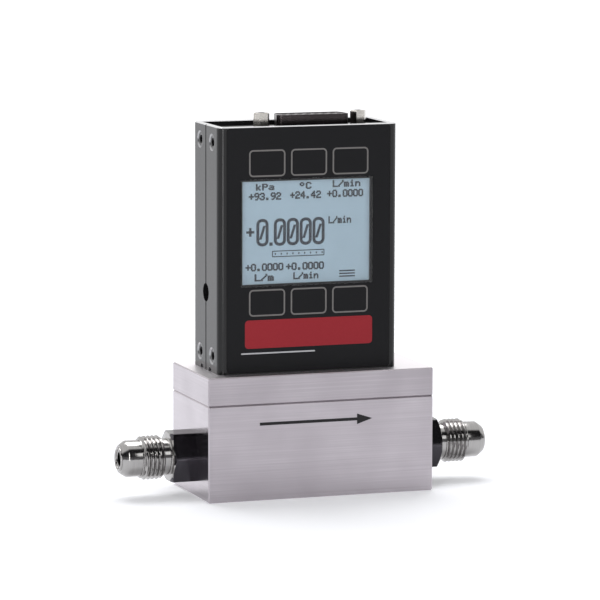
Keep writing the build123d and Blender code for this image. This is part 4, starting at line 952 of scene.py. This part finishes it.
put_on(("display_window",), acrylic)

# Liquid crystal glass: pale blue-grey, evenly lit by a little of its backlight.
crystal_glass = grained_finish(
    "liquid_crystal_glass", "#9caebb", "#a8bac7", 0.004, 0.3, gloss=0.1, glow=0.12,
)
put_on(("display_glass",), crystal_glass)

# Tin plate: bright warm grey, rolled smooth.
tin_plate = turned_metal("tin_plated_sheet", "#c6c6c4", "#b4b4b2", 0.3)
put_on(("display_frame",), tin_plate)

# Opal polycarbonate: milky white with a soft shine.
opal = grained_finish("opal_polycarbonate", "#eceeee", "#f6f7f7", 0.001, 0.4)
put_on(("display_backlight",), opal)


# ---------------------------------------------------------------- Display marks
# The switched dots of the liquid crystal make small readings in the corners and one large
# reading in the middle. Each mark is a thin film of dark crystal on the glass.
# Each letter is seven rows of five dots, and the next one starts six dots on.
letter_pitch, letter_rows = 6, 7
glyphs = {
    "0": "01110 10001 10001 10001 10001 10001 01110",
    "2": "01110 10001 00001 00110 01000 10000 11111",
    "3": "01110 10001 00001 00110 00001 10001 01110",
    "4": "00010 00110 01010 10010 11111 00010 00010",
    "9": "01110 10001 10001 01111 00001 00010 01100",
    "+": "00000 00100 00100 11111 00100 00100 00000",
    ".": "00000 00000 00000 00000 00000 01100 01100",
    "/": "00001 00001 00010 00100 01000 10000 10000",
    "k": "10000 10000 10010 10100 11000 10100 10010",
    "P": "11110 10001 10001 11110 10000 10000 10000",
    "a": "00000 00000 01110 00001 01111 10001 01111",
    "o": "01100 10010 10010 01100 00000 00000 00000",
    "C": "01110 10001 10000 10000 10000 10001 01110",
    "L": "10000 10000 10000 10000 10000 10000 11111",
    "m": "00000 00000 11010 10101 10101 10101 10101",
    "i": "00100 00000 01100 00100 00100 00100 01110",
    "n": "00000 00000 10110 11001 10001 10001 10001",
}
glass_low, glass_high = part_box("display_glass")
picture_shift, crystal_thickness = 0.00045, 0.00003
view_x = (glass_low.x + glass_high.x) / 2 - picture_shift
view_z = (glass_low.z + glass_high.z) / 2
ink_front, ink_back = glass_low.y - crystal_thickness, glass_low.y
dot_wide, dot_tall, millimetre = 1.8, 1.6, 0.001


def dots(words, left, right, top, bottom):
    """Words as dots that fill a box on the glass, in millimetres from its middle."""
    across = (right - left) / (letter_pitch * len(words) - 1)
    down = (top - bottom) / letter_rows
    wide, tall = across * dot_wide * millimetre, down * dot_tall * millimetre
    squares = []
    for place, letter in enumerate(words):
        for row, line in enumerate(glyphs[letter].split()):
            for column, lit in enumerate(line):
                if lit == "1":
                    x = view_x + (left + (letter_pitch * place + column) * across) * millimetre
                    z = view_z + (top - (row + 1) * down) * millimetre
                    outline = [(x, z), (x + wide, z), (x + wide, z + tall), (x, z + tall)]
                    squares.append(slab(outline, ink_front, ink_back))
    return squares


def big_zero(left, right, top, bottom, stroke, slash_width):
    """A large zero with rounded ends and a slash, in millimetres from the glass's middle."""
    end_curve, slash_reach, slash_rise = 0.45, 0.17, 0.25
    centre_x = view_x + (left + right) / 2 * millimetre
    centre_z = view_z + (top + bottom) / 2 * millimetre
    width, height = (right - left) * millimetre, (top - bottom) * millimetre
    line, half = stroke * millimetre, slash_width / 2 * millimetre
    curve = width * end_curve
    outer = rounded(centre_x, centre_z, width, height, curve)
    inner = rounded(centre_x, centre_z, width - 2 * line, height - 2 * line, curve - line)
    reach, rise = width * slash_reach, height * slash_rise
    slash = [
        (centre_x - reach - half, centre_z - rise),
        (centre_x - reach + half, centre_z - rise),
        (centre_x + reach + half, centre_z + rise),
        (centre_x + reach - half, centre_z + rise),
    ]
    return [ring(outer, inner, ink_front, ink_back), slab(slash, ink_front, ink_back)]


def bar(left, right, top, bottom):
    """A plain rectangle, in millimetres from the glass's middle."""
    corners = [(left, bottom), (right, bottom), (right, top), (left, top)]
    outline = [(view_x + x * millimetre, view_z + z * millimetre) for x, z in corners]
    return slab(outline, ink_front, ink_back)


marks = []
# Top line: pressure, temperature and volume flow.
marks += dots("kPa", -16.4, -10.4, 15.6, 13.6)
marks += dots("oC", -1.5, 2.3, 15.7, 13.6)
marks += dots("L/min", 9.8, 19.1, 16.0, 13.9)
marks += dots("+93.92", -18.8, -8.0, 12.7, 10.4)
marks += dots("+24.42", -4.8, 5.6, 12.8, 10.5)
marks += dots("+0.0000", 7.9, 20.1, 12.9, 10.6)
# The large reading: five zeros, the point, the two strokes of the plus sign and the unit.
zero_width, zero_top, zero_foot, zero_stroke, zero_slash = 4.15, 4.4, -4.5, 1.0, 0.9
for left in (-16.2, -10.25, -5.85, -1.45, 2.95):
    marks += big_zero(left, left + zero_width, zero_top, zero_foot, zero_stroke, zero_slash)
marks.append(bar(-11.75, -10.65, -3.3, -4.4))
marks.append(bar(-19.6, -16.9, 0.6, -0.2))
marks.append(bar(-18.65, -17.85, 1.6, -1.2))
marks += dots("L/min", 8.4, 16.0, 4.3, 2.1)
# A scale bar with its ticks under the large reading.
scale_width, scale_height, scale_line, scale_corner = 0.0179, 0.0021, 0.0003, 0.0003
scale_place = (view_x - 0.0019, view_z - 0.0071)
scale_outer = rounded(*scale_place, scale_width, scale_height, scale_corner)
scale_hole = (scale_width - 2 * scale_line, scale_height - 2 * scale_line)
scale_inner = rounded(*scale_place, *scale_hole, scale_corner / 3)
marks.append(ring(scale_outer, scale_inner, ink_front, ink_back))
tick_count, tick_step, tick_width, tick_top, tick_foot = 9, 2.0, 0.4, -6.8, -7.4
for tick in range(tick_count):
    tick_left = -9.9 + tick_step * tick
    marks.append(bar(tick_left, tick_left + tick_width, tick_top, tick_foot))
# Bottom line: volume flow, set flow and a three-bar menu sign.
marks += dots("+0.0000", -19.9, -7.2, -10.2, -12.5)
marks += dots("+0.0000", -6.1, 6.7, -10.3, -12.6)
marks += dots("L/m", -16.8, -10.5, -13.6, -15.8)
marks += dots("L/min", -3.6, 4.8, -13.5, -15.6)
menu_left, menu_right, menu_line = 12.2, 17.6, 0.45
for level in (-13.2, -14.1, -15.0):
    marks.append(bar(menu_left, menu_right, level, level - menu_line))

# Switched crystal: dark navy, with no shine of its own under the lens.
navy_crystal = grained_finish("switched_liquid_crystal", "#0c1424", "#141e32", 0.001, 0.35, gloss=0.1)
display_marks = object_from("display_marks", *gather(marks), navy_crystal)


# ================================================================ Keys
# Six push switches in black nylon are soldered to the display board. Their plungers end
# just behind the film.
put_on(("key_switches",), black_nylon)

# Acetal: off-white and slightly waxy.
acetal = grained_finish("white_moulded_acetal", "#e4e4e0", "#eeeeea", 0.0006, 0.38)
put_on([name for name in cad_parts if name.startswith("key_plunger")], acetal)


# ================================================================ D connector
# The 15-way receptacle is fixed behind the top panel and its drawn steel shell stands up
# through a D cut-out. Two hexagon jackscrews clamp it and take the plug's screws.

# Drawn tin plate, dulled and streaked by the drawing tool, in a warm grey painted dark on its sides as
# painted dark reflection and lighter on its top as painted light. Its real streaks are 0.2 mm apart and are
# drawn 1.2 mm apart to show.
drawn_tin = brushed_metal(
    "drawn_tin_plated_steel",
    "#655f60", "#272324", "#7c7677",
    long_rough=0.26,
    end_rough=0.3,
    top_rough=0.3,
    streak=0.02,
    scratch=0.0012,
)
put_on(("connector_shell",), drawn_tin)

# Glass-filled polyester: brown-grey and half dull.
polyester = grained_finish("glass_filled_polyester", "#3d393c", "#4a4548", 0.0005, 0.38)
put_on(("connector_insulator",), polyester)

# Gold flash: warm yellow on the turned contacts.
gold_flash = turned_metal("gold_flashed_brass", "#e2c069", "#cfa94e", 0.22)
put_on(("connector_pins",), gold_flash)

# Nickel plate: bright and slightly yellow, with the hexagons' flats as hard glints.
nickel_plate = turned_metal("nickel_plated_metal", "#c2bfba", "#aca8a2", 0.18)
put_on(("jackscrews",), nickel_plate)


# ================================================================ Power socket
# A barrel socket for the power lead sits in a notch of the main board, behind the round
# hole in the inlet side. Its body is moulded nylon and its pin is nickel-plated.
put_on(("power_socket",), black_nylon)
put_on(("socket_pin",), nickel_plate)
